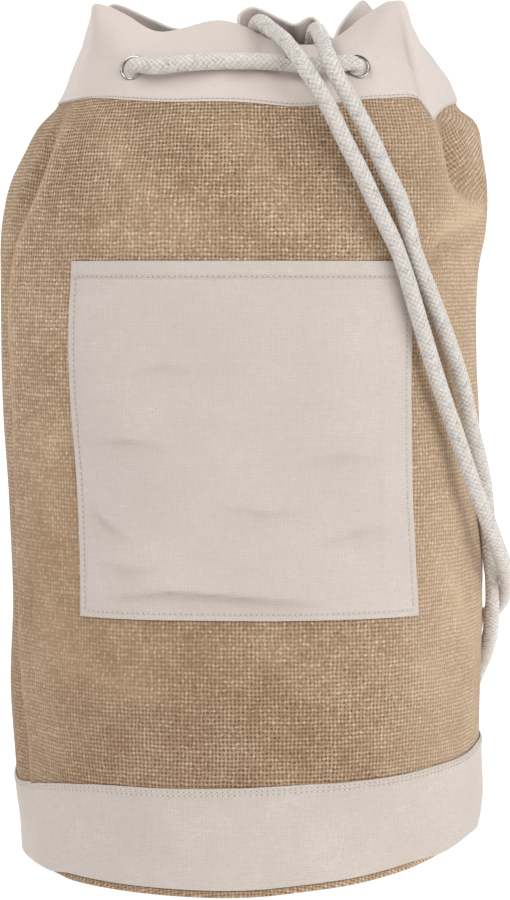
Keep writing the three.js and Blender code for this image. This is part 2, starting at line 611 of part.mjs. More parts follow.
function makeCord(curve) {
  const fineSteps = 2400;
  curve.arcLengthDivisions = 4000;
  const fine = curve.getSpacedPoints(fineSteps);
  const step = curve.getLength() / fineSteps;
  const way = (i) => unit(fine[Math.min(fineSteps, i + 1)].clone().sub(fine[Math.max(0, i - 1)]));
  const stations = [0];
  let last = 0;
  for (let i = 1; i < fineSteps; i++)
    if (way(i).angleTo(way(last)) > CORD_TURN * rad || (i - last) * step > CORD_STEP) {
      stations.push(i);
      last = i;
    }
  if ((fineSteps - last) * step < 3) stations.pop();
  stations.push(fineSteps);

  const eyes = Object.values(seats).map((s) => s.centre);
  const apart = (i) => {
    let best = 1e9;
    for (let k = 0; k < fineSteps; k += 4)
      if (Math.abs(k - i) * step > 40) best = Math.min(best, fine[i].distanceTo(fine[k]));
    return best;
  };
  const thick = stations.map((i) => {
    const near = Math.min(...eyes.map((e) => e.distanceTo(fine[i])));
    const pinch = CORD_PINCHED + (CORD_RADIUS - CORD_PINCHED) * smooth((near - PINCH_REACH) / 7);
    const press = CORD_PRESSED + (CORD_RADIUS - CORD_PRESSED) * smooth((apart(i) - 9.6) / 3);
    return Math.min(pinch, press) / CORD_RADIUS;
  });

  const section = new THREE.Shape(
    Array.from({ length: CORD_SIDES }, (_, k) => {
      const a = (2 * Math.PI * k) / CORD_SIDES;
      return new THREE.Vector2(CORD_RADIUS * Math.cos(a), CORD_RADIUS * Math.sin(a));
    }),
  );
  const centres = stations.map((i) => fine[i]);
  const ways = stations.map(way);
  const g = new THREE.ExtrudeGeometry(section, {
    steps: stations.length - 1,
    extrudePath: new Stepped(centres, ways),
  });
  // Each ring is drawn in to its own thickness
  const p = g.getAttribute("position");
  for (let n = 0; n < p.count; n++) {
    const v = new THREE.Vector3().fromBufferAttribute(p, n);
    let own = 0;
    let least = 1e9;
    centres.forEach((c, i) => {
      const d = v.clone().sub(c);
      const miss = Math.abs(d.length() - CORD_RADIUS) + Math.abs(d.dot(ways[i]));
      if (miss < least) [least, own] = [miss, i];
    });
    v.sub(centres[own]).multiplyScalar(thick[own]).add(centres[own]);
    p.setXYZ(n, v.x, v.y, v.z);
  }
  return welded(g, new THREE.Vector3(), new THREE.Vector3(0, 1, 0));
}

// A stopper knot: a lumpy ball of turns, a little past the cord's end
function makeKnot({ end, way }) {
  const g = new THREE.SphereGeometry(1, 20, 14);
  const p = g.getAttribute("position");
  for (let i = 0; i < p.count; i++) {
    const v = new THREE.Vector3().fromBufferAttribute(p, i);
    const a = Math.atan2(v.z, v.x);
    const lump = 1 + (KNOT.lump / KNOT.wide) * Math.sin(3 * a + 4 * v.y) * (1 - v.y * v.y);
    p.setXYZ(i, v.x * KNOT.wide * lump, v.y * KNOT.long, v.z * KNOT.deep * lump);
  }
  return welded(g, end.clone().addScaledVector(way, KNOT.long + SEAM_GAP + 0.05), way);
}

// ---------------------------------------------------------------- the bag
const bag = new THREE.Group();
bag.name = "travel_bag";
function add(name, g, colour, rough, metal = 0) {
  const mesh = new THREE.Mesh(g, new THREE.MeshStandardMaterial({ color: colour, roughness: rough, metalness: metal }));
  mesh.name = name;
  bag.add(mesh);
}

const route = cordRoute();
add("body_cloth", pierce(makeJute(), (s) => !s.cuffSide), 0xb8966f, 0.95);
add("lower_band", pierce(makeBand(), (s) => !s.cuffSide), 0xd9cfc5, 0.95);
add("cuff", pierce(makeCuff(), (s) => s.cuffSide), 0xddd4cb, 0.95);
add("pocket", makePocket(), 0xe0d8cf, 0.95);
add("base_disc", makeBase(), 0xb08f68, 0.95);
for (const e of EYELETS) add(e.name, eyeletOf(seats[e.name]), 0xc9ccce, 0.25, 1);
add("drawcord", makeCord(route.curve), 0xd6d0ca, 0.9);
add("cord_knot_rear", makeKnot(route.ends[0]), 0xd3cdc7, 0.9);
add("cord_knot_fore", makeKnot(route.ends[1]), 0xd4cec8, 0.9);

export default bag;
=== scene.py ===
import math
import bpy
import numpy as np
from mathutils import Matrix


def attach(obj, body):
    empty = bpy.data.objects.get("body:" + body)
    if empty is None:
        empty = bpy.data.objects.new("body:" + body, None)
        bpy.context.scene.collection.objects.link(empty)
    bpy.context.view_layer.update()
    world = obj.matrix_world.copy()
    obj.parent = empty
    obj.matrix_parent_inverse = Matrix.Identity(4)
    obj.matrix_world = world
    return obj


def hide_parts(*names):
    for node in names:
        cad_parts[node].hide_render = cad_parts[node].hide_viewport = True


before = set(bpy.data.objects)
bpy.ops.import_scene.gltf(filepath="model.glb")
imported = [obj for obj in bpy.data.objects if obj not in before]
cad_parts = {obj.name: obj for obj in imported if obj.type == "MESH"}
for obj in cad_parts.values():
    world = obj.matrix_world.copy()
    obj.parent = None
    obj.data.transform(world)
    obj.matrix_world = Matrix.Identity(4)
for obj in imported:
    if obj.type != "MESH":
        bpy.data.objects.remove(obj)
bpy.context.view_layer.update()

# ------------------------------------------------------------------ sizes, millimetres
MM = 0.001
RIDGE_HIGH = 4.5
SEAM_GAP = 0.3
GATHER_FROM = 300.0
GATHER_POWER = 1.7
SIDE_SLACK = 0.5
FLAT_SHARE = 0.62
JUTE_THICK = 1.3
CANVAS_THICK = 1.0
CORD_RADIUS = 4.9
CORD_PINCHED = 4.4
CORD_PRESSED = 4.4
PINCH_REACH = 5.5
EYELET_BORE = 6.0
EYELET_RIM = 8.4

# rise, half width left, half width right, depth front, depth back, squareness front, squareness back
LEVELS = [
    (0, 139.0, 139.5, 141.5, 141.0, 2.02, 2.0),
    (30, 140.8, 145.0, 143.0, 141.0, 2.2, 2.05),
    (64, 143.0, 145.0, 144.0, 138.0, 2.35, 2.1),
    (110, 147.0, 146.5, 144.5, 132.0, 2.5, 2.1),
    (160, 144.5, 145.5, 145.0, 127.0, 2.6, 2.15),
    (220, 146.0, 145.5, 145.5, 123.0, 2.65, 2.15),
    (275, 149.0, 143.5, 146.0, 121.0, 2.65, 2.15),
    (320, 151.0, 142.0, 145.5, 117.0, 2.65, 2.15),
    (360, 151.0, 143.0, 144.5, 111.0, 2.6, 2.1),
    (385, 149.5, 147.6, 142.5, 106.0, 2.55, 2.1),
    (410, 144.5, 149.2, 138.5, 99.0, 2.5, 2.05),
    (430, 136.0, 147.0, 132.0, 91.0, 2.5, 2.0),
    (445, 127.8, 143.5, 125.0, 85.0, 2.5, 2.0),
    (460, 115.5, 132.5, 117.0, 78.0, 2.5, 2.0),
]
# angle from the front by the right, seam x, y, rise, rim x, y, rise
GATHERS = [
    (0, 0, -119.4, 455.5, 0, -74, 502.5),
    (14, 29.8, -119.7, 453, 31, -77, 492.3),
    (23, 49.1, -115.8, 455, 52, -79, 495.3),
    (31, 65.9, -109.6, 457.5, 68, -83, 506.5),
    (39, 82, -101.3, 459, 81, -87, 515),
    (43, 98, -95.8, 459.5, 87, -89, 516),
    (46, 104.5, -96, 453, 89.5, -89.5, 516),
    (49, 108.5, -94.3, 447, 91.2, -88, 515.7),
    (52, 111, -87, 449, 92.3, -82, 515),
    (56, 114, -77, 452.3, 93.5, -72, 514),
    (64, 120, -58.6, 457.3, 94.5, -50, 512),
    (90, 131.3, 0, 464, 95.5, -4, 509),
    (108, 118.4, 36, 465, 95, 32, 512),
    (124, 102, 66, 465, 88, 60, 518),
    (134, 87, 64, 466, 80, 36, 522),
    (140, 78, 56, 467, 73, 22, 527.5),
    (147, 68, 42, 468, 65, -4, 519),
    (153, 59, 20, 469, 57, -38, 507),
    (159, 50, -2, 469, 51, -66, 496),
    (166, 38, -9, 469, 40, -57, 509.3),
    (173, 27, -12, 469, 29, -67, 504.5),
    (177, 20, -13, 469, 21, -62, 508),
    (184, 6, -14, 469, 5, -55, 515.6),
    (188, -2, -13, 469, -3, -60, 511.5),
    (192, -9, -10, 469, -5, -67, 502),
    (203, -26, 13, 468, -24, -30, 505),
    (214, -44, 44, 467, -44, 14, 509.5),
    (224, -58, 58, 466, -58, 22, 515.5),
    (236, -80, 74, 465, -82, 52, 528),
    (250, -98, 58, 464, -89, 42, 523),
    (268, -113.8, 3.9, 461, -91, 6, 514),
    (286, -111.4, -31.8, 460, -90.5, -32, 513),
    (302, -102.3, -63.5, 459.5, -89.5, -66, 512),
    (312, -90.9, -81.9, 460, -87, -86, 514.5),
    (321, -78, -96.3, 459, -78, -84, 512.5),
    (328, -66, -105.5, 457.5, -70, -82, 508.6),
    (339, -44.1, -114.9, 456, -50, -78, 498.8),
    (351, -18.8, -118.7, 456, -18, -74, 505.7),
]
FOLD = dict(low=-58.0, high=-62.0, start=90.0, end=470.0, out=1.5, wide=6.0)
# angle, rise of the base's edge, rise of the band's top
HEMS = [
    (0, 0.5, 65), (14, 3, 66.7), (26, 5, 67.2), (37, 8, 68), (48, 11.5, 70.3),
    (60, 15.5, 72), (70, 17.5, 74), (90, 14, 73), (115, 5, 70), (140, 0, 67),
    (180, 0, 66), (230, 0, 64), (262, 0.5, 57), (280, 1.5, 51), (292, 2, 50.8),
    (306, 1, 56.6), (314, 0, 59.8), (326, 0, 63), (341, 0, 64),
]
# rise, left side's angle, right side's angle
POCKET = [
    (161.5, -37.3, 39.4), (187, -37.2, 38.8), (216, -37.4, 37.9), (246, -37.7, 37.2),
    (290, -38.5, 37.2), (329, -39.0, 37.6), (365.3, -39.0, 36.9),
]
# name, angle, up (0 to 1 on the band, 2 to 3 on the cuff)
EYELETS = [
    ("eyelet_front_left", 328, 2.375),
    ("eyelet_front_right", 31, 2.39),
    ("eyelet_side_right", 116, 2.45),
    ("eyelet_back_right", 167, 2.45),
    ("eyelet_back_left", 184, 2.45),
    ("eyelet_side_left", 246, 2.45),
    ("eyelet_band_rear", 134, 0.52),
    ("eyelet_band_fore", 114, 0.52),
]
STRAND_OVER = [
    (156.8, 3, 150.0), (159.2, -30, 165.5), (155.4, -62, 181), (147.6, -84, 200), (138.6, -99.5, 221.5),
    (130.3, -109, 241.5), (121.4, -114.0, 266.8), (110, -123.5, 297.8), (100.1, -129.5, 328.9),
    (87.0, -136.3, 369.3), (75.3, -139.5, 393.9), (66.1, -140.5, 413.5), (56.1, -139.3, 433.1),
    (46, -136.4, 453.8), (34.5, -129.5, 473.3), (25, -110.0, 488.6), (15.5, -90.0, 498.6),
]
STRAND_UNDER = [
    (44.8, -108.8, 489.8), (50, -129.7, 473.3), (60.7, -134.0, 453.9), (71.4, -135.0, 433.7),
    (79.3, -135.0, 416.5), (87.8, -132.7, 399.8), (96.9, -130.0, 369.3), (113.3, -117.1, 328.7),
    (125, -104, 297.1), (133.0, -91.6, 265.5), (141.0, -73.6, 236.4), (146.3, -54, 200),
    (150.1, -37, 170), (152.0, -12, 140), (150.9, 15, 119), (147.0, 37, 101), (142.6, 50.8, 84),
]
FRONT_RUN = [
    (-36, -110.6, 478.2), (-14, -110.5, 479.4), (8.5, -108.8, 479.5), (26, -106.0, 478.2), (36, -105.4, 477.4),
]

# ------------------------------------------------------------------ the bag's surface


def hermite(xs, ys, x):
    xs = np.asarray(xs, float)
    ys = np.asarray(ys, float)
    x = np.clip(x, xs[0], xs[-1])
    m = np.empty_like(ys)
    m[1:-1] = (ys[2:] - ys[:-2]) / (xs[2:] - xs[:-2])
    m[0] = (ys[1] - ys[0]) / (xs[1] - xs[0])
    m[-1] = (ys[-1] - ys[-2]) / (xs[-1] - xs[-2])
    i = np.clip(np.searchsorted(xs, x, side="right") - 1, 0, len(xs) - 2)
    h = xs[i + 1] - xs[i]
    t = (x - xs[i]) / h
    a = 2 * t**3 - 3 * t**2 + 1
    return a * ys[i] + (t**3 - 2 * t**2 + t) * h * m[i] + (1 - a) * ys[i + 1] + (t**3 - t**2) * h * m[i + 1]


def around(rows, col, at):
    a = [r[0] for r in rows]
    v = [r[col] for r in rows]
    xs = np.array([a[-2] - 360, a[-1] - 360] + a + [a[0] + 360, a[1] + 360], float)
    ys = np.array([v[-2], v[-1]] + v + [v[0], v[1]], float)
    return hermite(xs, ys, np.mod(at, 360.0))


def smooth(t):
    t = np.clip(t, 0, 1)
    return t * t * (3 - 2 * t)


def level(col, z):
    return hermite([r[0] for r in LEVELS], [r[col] for r in LEVELS], z)


def wrap(d):
    return (d + 180) % 360 - 180


def radius(at, z):
    s = np.sin(np.radians(at))
    c = np.cos(np.radians(at))
    a = np.where(s > 0, level(2, z), level(1, z))
    b = np.where(c > 0, level(3, z), level(4, z))
    n = level(6, z) + (level(5, z) - level(6, z)) * smooth(0.5 + 0.5 * c)
    return (np.abs(s / a) ** n + np.abs(c / b) ** n) ** (-1 / n)


def fold_out(at, z):
    f = FOLD
    mid = f["low"] + (f["high"] - f["low"]) * (z - f["start"]) / (f["end"] - f["start"])
    win = smooth((z - f["start"]) / 30.0) * smooth((f["end"] - z) / 30.0)
    return f["out"] * np.exp(-((wrap(at - mid) / f["wide"]) ** 2)) * win


def plan(at, z, out=0.0):
    r = radius(at, z) + out + fold_out(at, z)
    return np.stack([r * np.sin(np.radians(at)), -r * np.cos(np.radians(at)), z + 0 * at], -1)


def seam(at):
    return np.stack([around(GATHERS, k, at) for k in (1, 2, 3)], -1)


def rim(at):
    return np.stack([around(GATHERS, k, at) for k in (4, 5, 6)], -1)


def body(at, z, out=0.0):
    at = np.asarray(at, float)
    z = np.asarray(z, float)
    sm = seam(at)
    sz = sm[..., 2]
    shift = sm - plan(at, sz)
    shift[..., 2] = 0
    g = np.clip((z - GATHER_FROM) / (sz - GATHER_FROM), 0, 1.2) ** GATHER_POWER
    return plan(at, z, out) + shift * g[..., None]


def cuff(at, v):
    at = np.asarray(at, float)
    v = np.asarray(v, float)
    p0 = seam(at)
    sz = p0[..., 2]
    t0 = (body(at, sz) - body(at, sz - 4)) / 4.0
    p1 = rim(at)
    length = np.linalg.norm(p1 - p0, axis=-1, keepdims=True)
    swell = 1 - SIDE_SLACK * smooth((np.abs(wrap(at)) - 40) / 12)
    t0 = t0 / np.linalg.norm(t0, axis=-1, keepdims=True) * length * swell[..., None]
    t1 = p1 - p0
    v = v[..., None]
    a = 2 * v**3 - 3 * v**2 + 1
    return a * p0 + (v**3 - 2 * v**2 + v) * t0 + (1 - a) * p1 + (v**3 - v**2) * t1


def foot(at):
    return np.maximum(0, around(HEMS, 1, at))


def band_top(at):
    return around(HEMS, 2, at)


def skin(at, up):
    at = np.asarray(at, float)
    up = np.asarray(up, float) + 0 * at
    at = at + 0 * up
    z0 = foot(at) + RIDGE_HIGH + SEAM_GAP
    z1 = band_top(at)
    z2 = around(GATHERS, 3, at)
    zz = np.where(up < 1, z0 + (z1 - z0) * np.minimum(up, 1), z1 + (z2 - z1) * np.clip(up - 1, 0, 1))
    return np.where((up <= 2)[..., None], body(at, zz), cuff(at, np.clip(up - 2, 0, 1)))


# Folds of the standing cloth: lines of angle, rise, height of the ridge and depth of the dip beside it
CREASES = [
    # the front's left corner, from the cuff to the ground
    dict(line=[(-57, 462, 0.4, 0.0), (-52, 447, 1.6, -1.5), (-51, 430, 2.6, -5.0), (-51.5, 410, 2.8, -6.0), (-54, 392, 3.0, -5.0),
               (-57, 375, 2.8, -4.4), (-58.6, 350, 2.6, -4.2), (-59, 320, 2.4, -4.0), (-60, 250, 2.2, -3.6), (-60.5, 190, 2.2, -3.6),
               (-59.5, 142, 2.4, -4.0), (-57.5, 119, 2.6, -4.2), (-59, 84, 2.2, -4.0), (-61, 62, 1.8, -3.6), (-60, 43, 1.6, -3.0), (-58, 12, 0.4, -0.8)],
         thin=4.2, side=-12.0, wide=9.0),
    # the front's right corner, which the side tucks in behind
    dict(line=[(50, 464, 0.4, -1.0), (49, 450, 1.6, -5.0), (47.6, 437, 3.0, -9.0), (47.4, 424, 3.8, -11.0), (48.6, 412, 3.8, -10.5),
               (52, 403, 3.2, -8.0), (58, 398, 2.2, -5.0), (68, 396, 0.6, -1.5), (76, 395, 0, 0)],
         thin=7.0, side=13.0, wide=9.5),
    # the roll below it
    dict(line=[(40, 358, 0, 0), (43.5, 365, 0, -3.8), (46, 371, 0, -5.4), (50, 376, 0, -6.0), (57, 380, 0, -5.4), (66, 386, 0, -3.4), (78, 393, 0, 0)],
         thin=6.0, side=0.0, wide=5.5),
    dict(line=[(41, 372, 0, 0), (45, 383, 2.0, 0), (52, 388, 3.0, 0), (62, 391, 2.2, 0), (74, 396, 0, 0)],
         thin=9.0, side=0.0, wide=6.0),
    # soft pleats on the far sides
    dict(line=[(-80, 462, 0, 0), (-82, 440, 1.0, -2.5), (-86, 410, 0.8, -1.8), (-90, 370, 0, 0)], thin=7.0, side=-12.0, wide=9.0),
    dict(line=[(150, 462, 0, 0), (152, 430, 1.5, -3.0), (150, 380, 1.0, -2.0), (148, 320, 0, 0)], thin=9.0, side=12.0, wide=10.0),
    dict(line=[(196, 462, 0, 0), (198, 425, 1.5, -3.0), (202, 370, 0.8, -1.5), (204, 310, 0, 0)], thin=9.0, side=-12.0, wide=10.0),
    dict(line=[(228, 462, 0, 0), (228, 430, 1.4, -2.6), (226, 385, 0, 0)], thin=9.0, side=12.0, wide=10.0),
    # shallow diagonal drags: front upper left, beside the pocket, low on the front and on the band
    dict(line=[(-40, 452, 0, 0), (-33, 430, 1.0, -1.2), (-24, 405, 0.8, -1.0), (-16, 385, 0, 0)], thin=9.0, side=12.0, wide=10.0),
    dict(line=[(-6, 452, 0, 0), (2, 425, 0.9, -1.0), (9, 398, 0.9, -1.0), (14, 378, 0, 0)], thin=10.0, side=12.0, wide=10.0),
    dict(line=[(41, 345, 0, 0), (47, 310, 1.4, -1.2), (52, 262, 1.4, -1.2), (60, 215, 0, 0)], thin=8.0, side=12.0, wide=10.0),
    dict(line=[(44, 205, 0, 0), (50, 180, 1.6, -1.4), (58, 150, 1.4, -1.2), (66, 118, 0, 0)], thin=8.0, side=-12.0, wide=10.0),
    dict(line=[(36, 150, 0, 0), (44, 128, 1.2, -1.0), (56, 106, 0, 0)], thin=8.0, side=10.0, wide=9.0),
    dict(line=[(-50, 150, 0, 0), (-38, 132, 1.2, -1.0), (-22, 118, 1.0, -0.8), (-8, 110, 0, 0)], thin=8.0, side=10.0, wide=9.0),
    dict(line=[(9, 66, 0, 0), (15, 54, 0.9, -0.9), (24, 36, 0, 0)], thin=5.0, side=7.0, wide=6.0),
    dict(line=[(19, 67, 0, 0), (26, 56, 0.9, -0.9), (34, 40, 0, 0)], thin=5.0, side=7.0, wide=6.0),
    dict(line=[(-28, 64, 0, 0), (-33, 47, 0.8, -0.8), (-36, 28, 0, 0)], thin=5.0, side=7.0, wide=6.0),
]
PRESSED = [
    # small creases of the pocket: angle, rise, height, 0; the cloth stands up above the line and falls away from it
    dict(line=[(-31, 173.5, 0, 0), (-25, 175.5, 1.6, 0), (-17, 178.0, 2.6, 0), (-8, 176.5, 2.9, 0), (3, 174.5, 2.3, 0), (12, 172.5, 1.4, 0), (18, 171.5, 0, 0)], step=9.0),
    dict(line=[(-35, 228, 0, 0), (-31, 217, 1.7, 0), (-24, 205, 0, 0)], step=8.0),
    dict(line=[(-35, 262, 0, 0), (-27, 264, 1.5, 0), (-14, 261, 0, 0)], step=7.0),
    dict(line=[(-34, 196, 0, 0), (-26, 190, 1.3, 0), (-18, 192, 0, 0)], step=8.0),
    dict(line=[(14, 204, 0, 0), (24, 212, 1.5, 0), (34, 215, 0, 0)], step=8.0),
    dict(line=[(-8, 228, 0, 0), (4, 223, 1.2, 0), (18, 226, 0, 0)], step=9.0),
    dict(line=[(10, 250, 0, 0), (20, 256, 1.2, 0), (32, 253, 0, 0)], step=9.0),
    dict(line=[(-30, 300, 0, 0), (-18, 306, 1.0, 0), (-4, 302, 0, 0)], step=10.0),
    dict(line=[(29.2, 352, 0, 0), (29.4, 330, 0.9, 0), (29.6, 260, 0.8, 0), (30.2, 200, 0.9, 0), (30.4, 168, 0, 0)], step=5.0),
]


def crease(c, at, z):
    """Height of one fold at points of angle and rise."""
    at = wrap(np.asarray(at, float))
    z = np.asarray(z, float)
    px, py = at * 2.5, z
    best = np.full(px.shape, 1e9)
    sign = np.zeros(px.shape)
    ridge = np.zeros(px.shape)
    dip = np.zeros(px.shape)
    line = c["line"]
    shift = 360.0 if min(q[0] for q in line) > 180 else 0.0
    for q, r in zip(line[:-1], line[1:]):
        ax, ay, bx, by = (q[0] - shift) * 2.5, q[1], (r[0] - shift) * 2.5, r[1]
        dx, dy = bx - ax, by - ay
        t = np.clip(((px - ax) * dx + (py - ay) * dy) / (dx * dx + dy * dy), 0, 1)
        ex, ey = px - (ax + t * dx), py - (ay + t * dy)
        d = np.hypot(ex, ey)
        m = d < best
        best = np.where(m, d, best)
        # right of the line is positive where it runs down, and above it where it runs to the right
        cr = dx * ey - dy * ex
        sign = np.where(m, np.sign(cr), sign)
        ridge = np.where(m, q[2] + (r[2] - q[2]) * t, ridge)
        dip = np.where(m, q[3] + (r[3] - q[3]) * t, dip)
    sd = best * sign
    if "step" in c:
        return ridge * smooth(sd / 1.6 + 0.5) * np.exp(-np.maximum(sd, 0) / c["step"])
    return ridge * np.exp(-((best / c["thin"]) ** 1.7)) + dip * np.exp(-(((sd - c["side"]) / c["wide"]) ** 2))


def relief(at, z):
    """All folds of the body's cloth, and its gentle unevenness, in mm."""
    a = np.asarray(at, float)
    z = np.asarray(z, float) + 0 * a
    a = a + 0 * z
    h = sum(crease(c, a, z) for c in CREASES)
    r = np.radians(a)
    h = h + 0.7 * np.sin(5 * r + 0.021 * z + 0.4) * np.sin(0.019 * z + 1.1) + 0.45 * np.sin(11 * r - 0.034 * z) + 0.4 * np.sin(7 * r + 0.055 * z + 2.0)
    # the cloth gives where the cord presses on it
    h = h - 1.0 * np.exp(-((wrap(a - 98) / 8) ** 2) - (((z - 112) / 20) ** 2)) + 2.7 * np.exp(-((wrap(a - 94) / 10) ** 2) - (((z - 163) / 32) ** 2))
    h = h + 1.3 * np.exp(-((wrap(a - 80) / 22) ** 2) - (((z - 450) / 9) ** 2)) + 0.8 * np.exp(-((wrap(a + 88) / 24) ** 2) - (((z - 448) / 9) ** 2))
    return h * smooth((z - 8) / 30.0)


def outward(at, up, da=1.0, du=0.02):
    at = np.asarray(at, float)
    up = np.asarray(up, float) + 0 * at
    at = at + 0 * up
    across = skin(at + da, up) - skin(at - da, up)
    along = skin(at, np.clip(up + du, 0, 3)) - skin(at, np.clip(up - du, 0, 3))
    n = np.cross(across, along)
    return n / np.linalg.norm(n, axis=-1, keepdims=True)


def on(at, up, off):
    off = np.asarray(off, float)
    return skin(at, up) + outward(at, up) * off[..., None]


def rise_of(at, up):
    z0 = foot(at) + RIDGE_HIGH + SEAM_GAP
    z1 = band_top(at)
    z2 = around(GATHERS, 3, at)
    return np.where(up < 1, z0 + (z1 - z0) * np.minimum(up, 1), z1 + (z2 - z1) * np.clip(up - 1, 0, 1))


def tuck(at, up):
    """The cuff's right side lies flatter than its seam line alone would make it."""
    side = np.exp(-((wrap(at - 84) / 18) ** 2))
    return -2.7 * side * np.exp(-((np.maximum(up, 2.0) - 2.12) / 0.28) ** 2) * smooth((up - 1.965) / 0.035)


def folded(at, up, off):
    """The same with the folds of the cloth; they fade where the cuff begins."""
    at = np.asarray(at, float)
    up = np.asarray(up, float) + 0 * at
    at = at + 0 * up
    low = np.minimum(up, 2.0)
    z = rise_of(at, low)
    h = relief(at, z) * smooth((around(GATHERS, 3, at) - z) / 14.0) * (up <= 2.0)
    return on(at, up, np.asarray(off, float) + h + tuck(at, up))


def up_at(at, z):
    """The body's own height coordinate of a rise above the lower band."""
    z1 = band_top(at)
    return 1 + (z - z1) / (around(GATHERS, 3, at) - z1)


# ------------------------------------------------------------------ meshes


def make_mesh(name, points, faces, uvs=None, sharp=40, attrs=None):
    """points in mm; faces index lists; uvs per point (n,2) in metres."""
    me = bpy.data.meshes.new(name)
    me.from_pydata((np.asarray(points, float) * MM).tolist(), [], [list(map(int, f)) for f in faces])
    me.update()
    if uvs is not None:
        lay = me.uv_layers.new(name="UVMap")
        loops = np.empty(len(me.loops), dtype=np.int64)
        me.loops.foreach_get("vertex_index", loops)
        lay.data.foreach_set("uv", np.asarray(uvs, float)[loops].ravel())
    for key, vals in (attrs or {}).items():
        a = me.attributes.new(key, "FLOAT", "POINT")
        a.data.foreach_set("value", np.asarray(vals, float).ravel())
    me.polygons.foreach_set("use_smooth", [True] * len(me.polygons))
    if sharp:
        me.set_sharp_from_angle(angle=math.radians(sharp))
    ob = bpy.data.objects.new(name, me)
    bpy.context.scene.collection.objects.link(ob)
    return ob


def fix_outward(points, faces):
    p = np.asarray(points, float)
    f = np.asarray([q[:3] for q in faces])
    six = np.einsum("ij,ij->i", p[f[:, 0]], np.cross(p[f[:, 1]], p[f[:, 2]])).sum()
    g = np.asarray([(q[0], q[2], q[3]) for q in faces if len(q) == 4])
    if len(g):
        six += np.einsum("ij,ij->i", p[g[:, 0]], np.cross(p[g[:, 1]], p[g[:, 2]])).sum()
    return [list(reversed(q)) for q in faces] if six < 0 else faces


def ring_mesh(name, loops, uv_u, uv_v, sharp=40, attrs=None):
    """loops (n_columns, n_loop, 3): a closed section carried round a closed ring; uv seam handled by a doubled column."""
    n, m = loops.shape[:2]
    pts = loops.reshape(-1, 3)
    i = np.arange(n)
    j = (i + 1) % n
    k = np.arange(m)
    l = (k + 1) % m
    a = (i[:, None] * m + k[None, :]).ravel()
    b = (j[:, None] * m + k[None, :]).ravel()
    c = (j[:, None] * m + l[None, :]).ravel()
    d = (i[:, None] * m + l[None, :]).ravel()
    faces = np.stack([a, b, c, d], 1).tolist()
    faces = fix_outward(pts, faces)
    me = bpy.data.meshes.new(name)
    me.from_pydata((pts * MM).tolist(), [], faces)
    me.update()
    lay = me.uv_layers.new(name="UVMap")
    lv = np.empty(len(me.loops), dtype=np.int64)
    me.loops.foreach_get("vertex_index", lv)
    u = np.asarray(uv_u, float)  # (n+1, m)
    v = np.asarray(uv_v, float)
    col = lv // m
    row = lv % m
    # a face that closes the ring reads its first column as the last one
    quad = np.repeat(np.arange(len(me.loops) // 4), 4)
    qcol = col.reshape(-1, 4)
    closing = (qcol.max(1) == n - 1) & (qcol.min(1) == 0)
    col = np.where(closing[quad] & (col == 0), n, col)
    # and the same for a face that closes the section
    qrow = row.reshape(-1, 4)
    closing_row = (qrow.max(1) == m - 1) & (qrow.min(1) == 0)
    uu = u[col, row]
    vv = v[col, row]
    vv = np.where(closing_row[quad] & (row == 0), v[col, m - 1], vv)
    lay.data.foreach_set("uv", np.stack([uu, vv], 1).ravel())
    for key, vals in (attrs or {}).items():
        at_ = me.attributes.new(key, "FLOAT", "POINT")
        at_.data.foreach_set("value", np.asarray(vals, float).ravel())
    me.polygons.foreach_set("use_smooth", [True] * len(me.polygons))
    if sharp:
        me.set_sharp_from_angle(angle=math.radians(sharp))
    ob = bpy.data.objects.new(name, me)
    bpy.context.scene.collection.objects.link(ob)
    return ob


def columns(step=0.8, fine=0.45):
    """Angles round the bag, closer at the pleats."""
    at, out = 0.0, []
    while at < 360 - 1e-6:
        out.append(at)
        near = (38 < at < 60) or (150 < at < 196) or (226 < at < 244) or (132 < at < 150)
        at += fine if near else step
    a = np.array(out)
    a = a * 360.0 / (a[-1] + step)
    return np.concatenate([a[a >= 180], a[a < 180] + 360])


# ------------------------------------------------------------------ shader helper


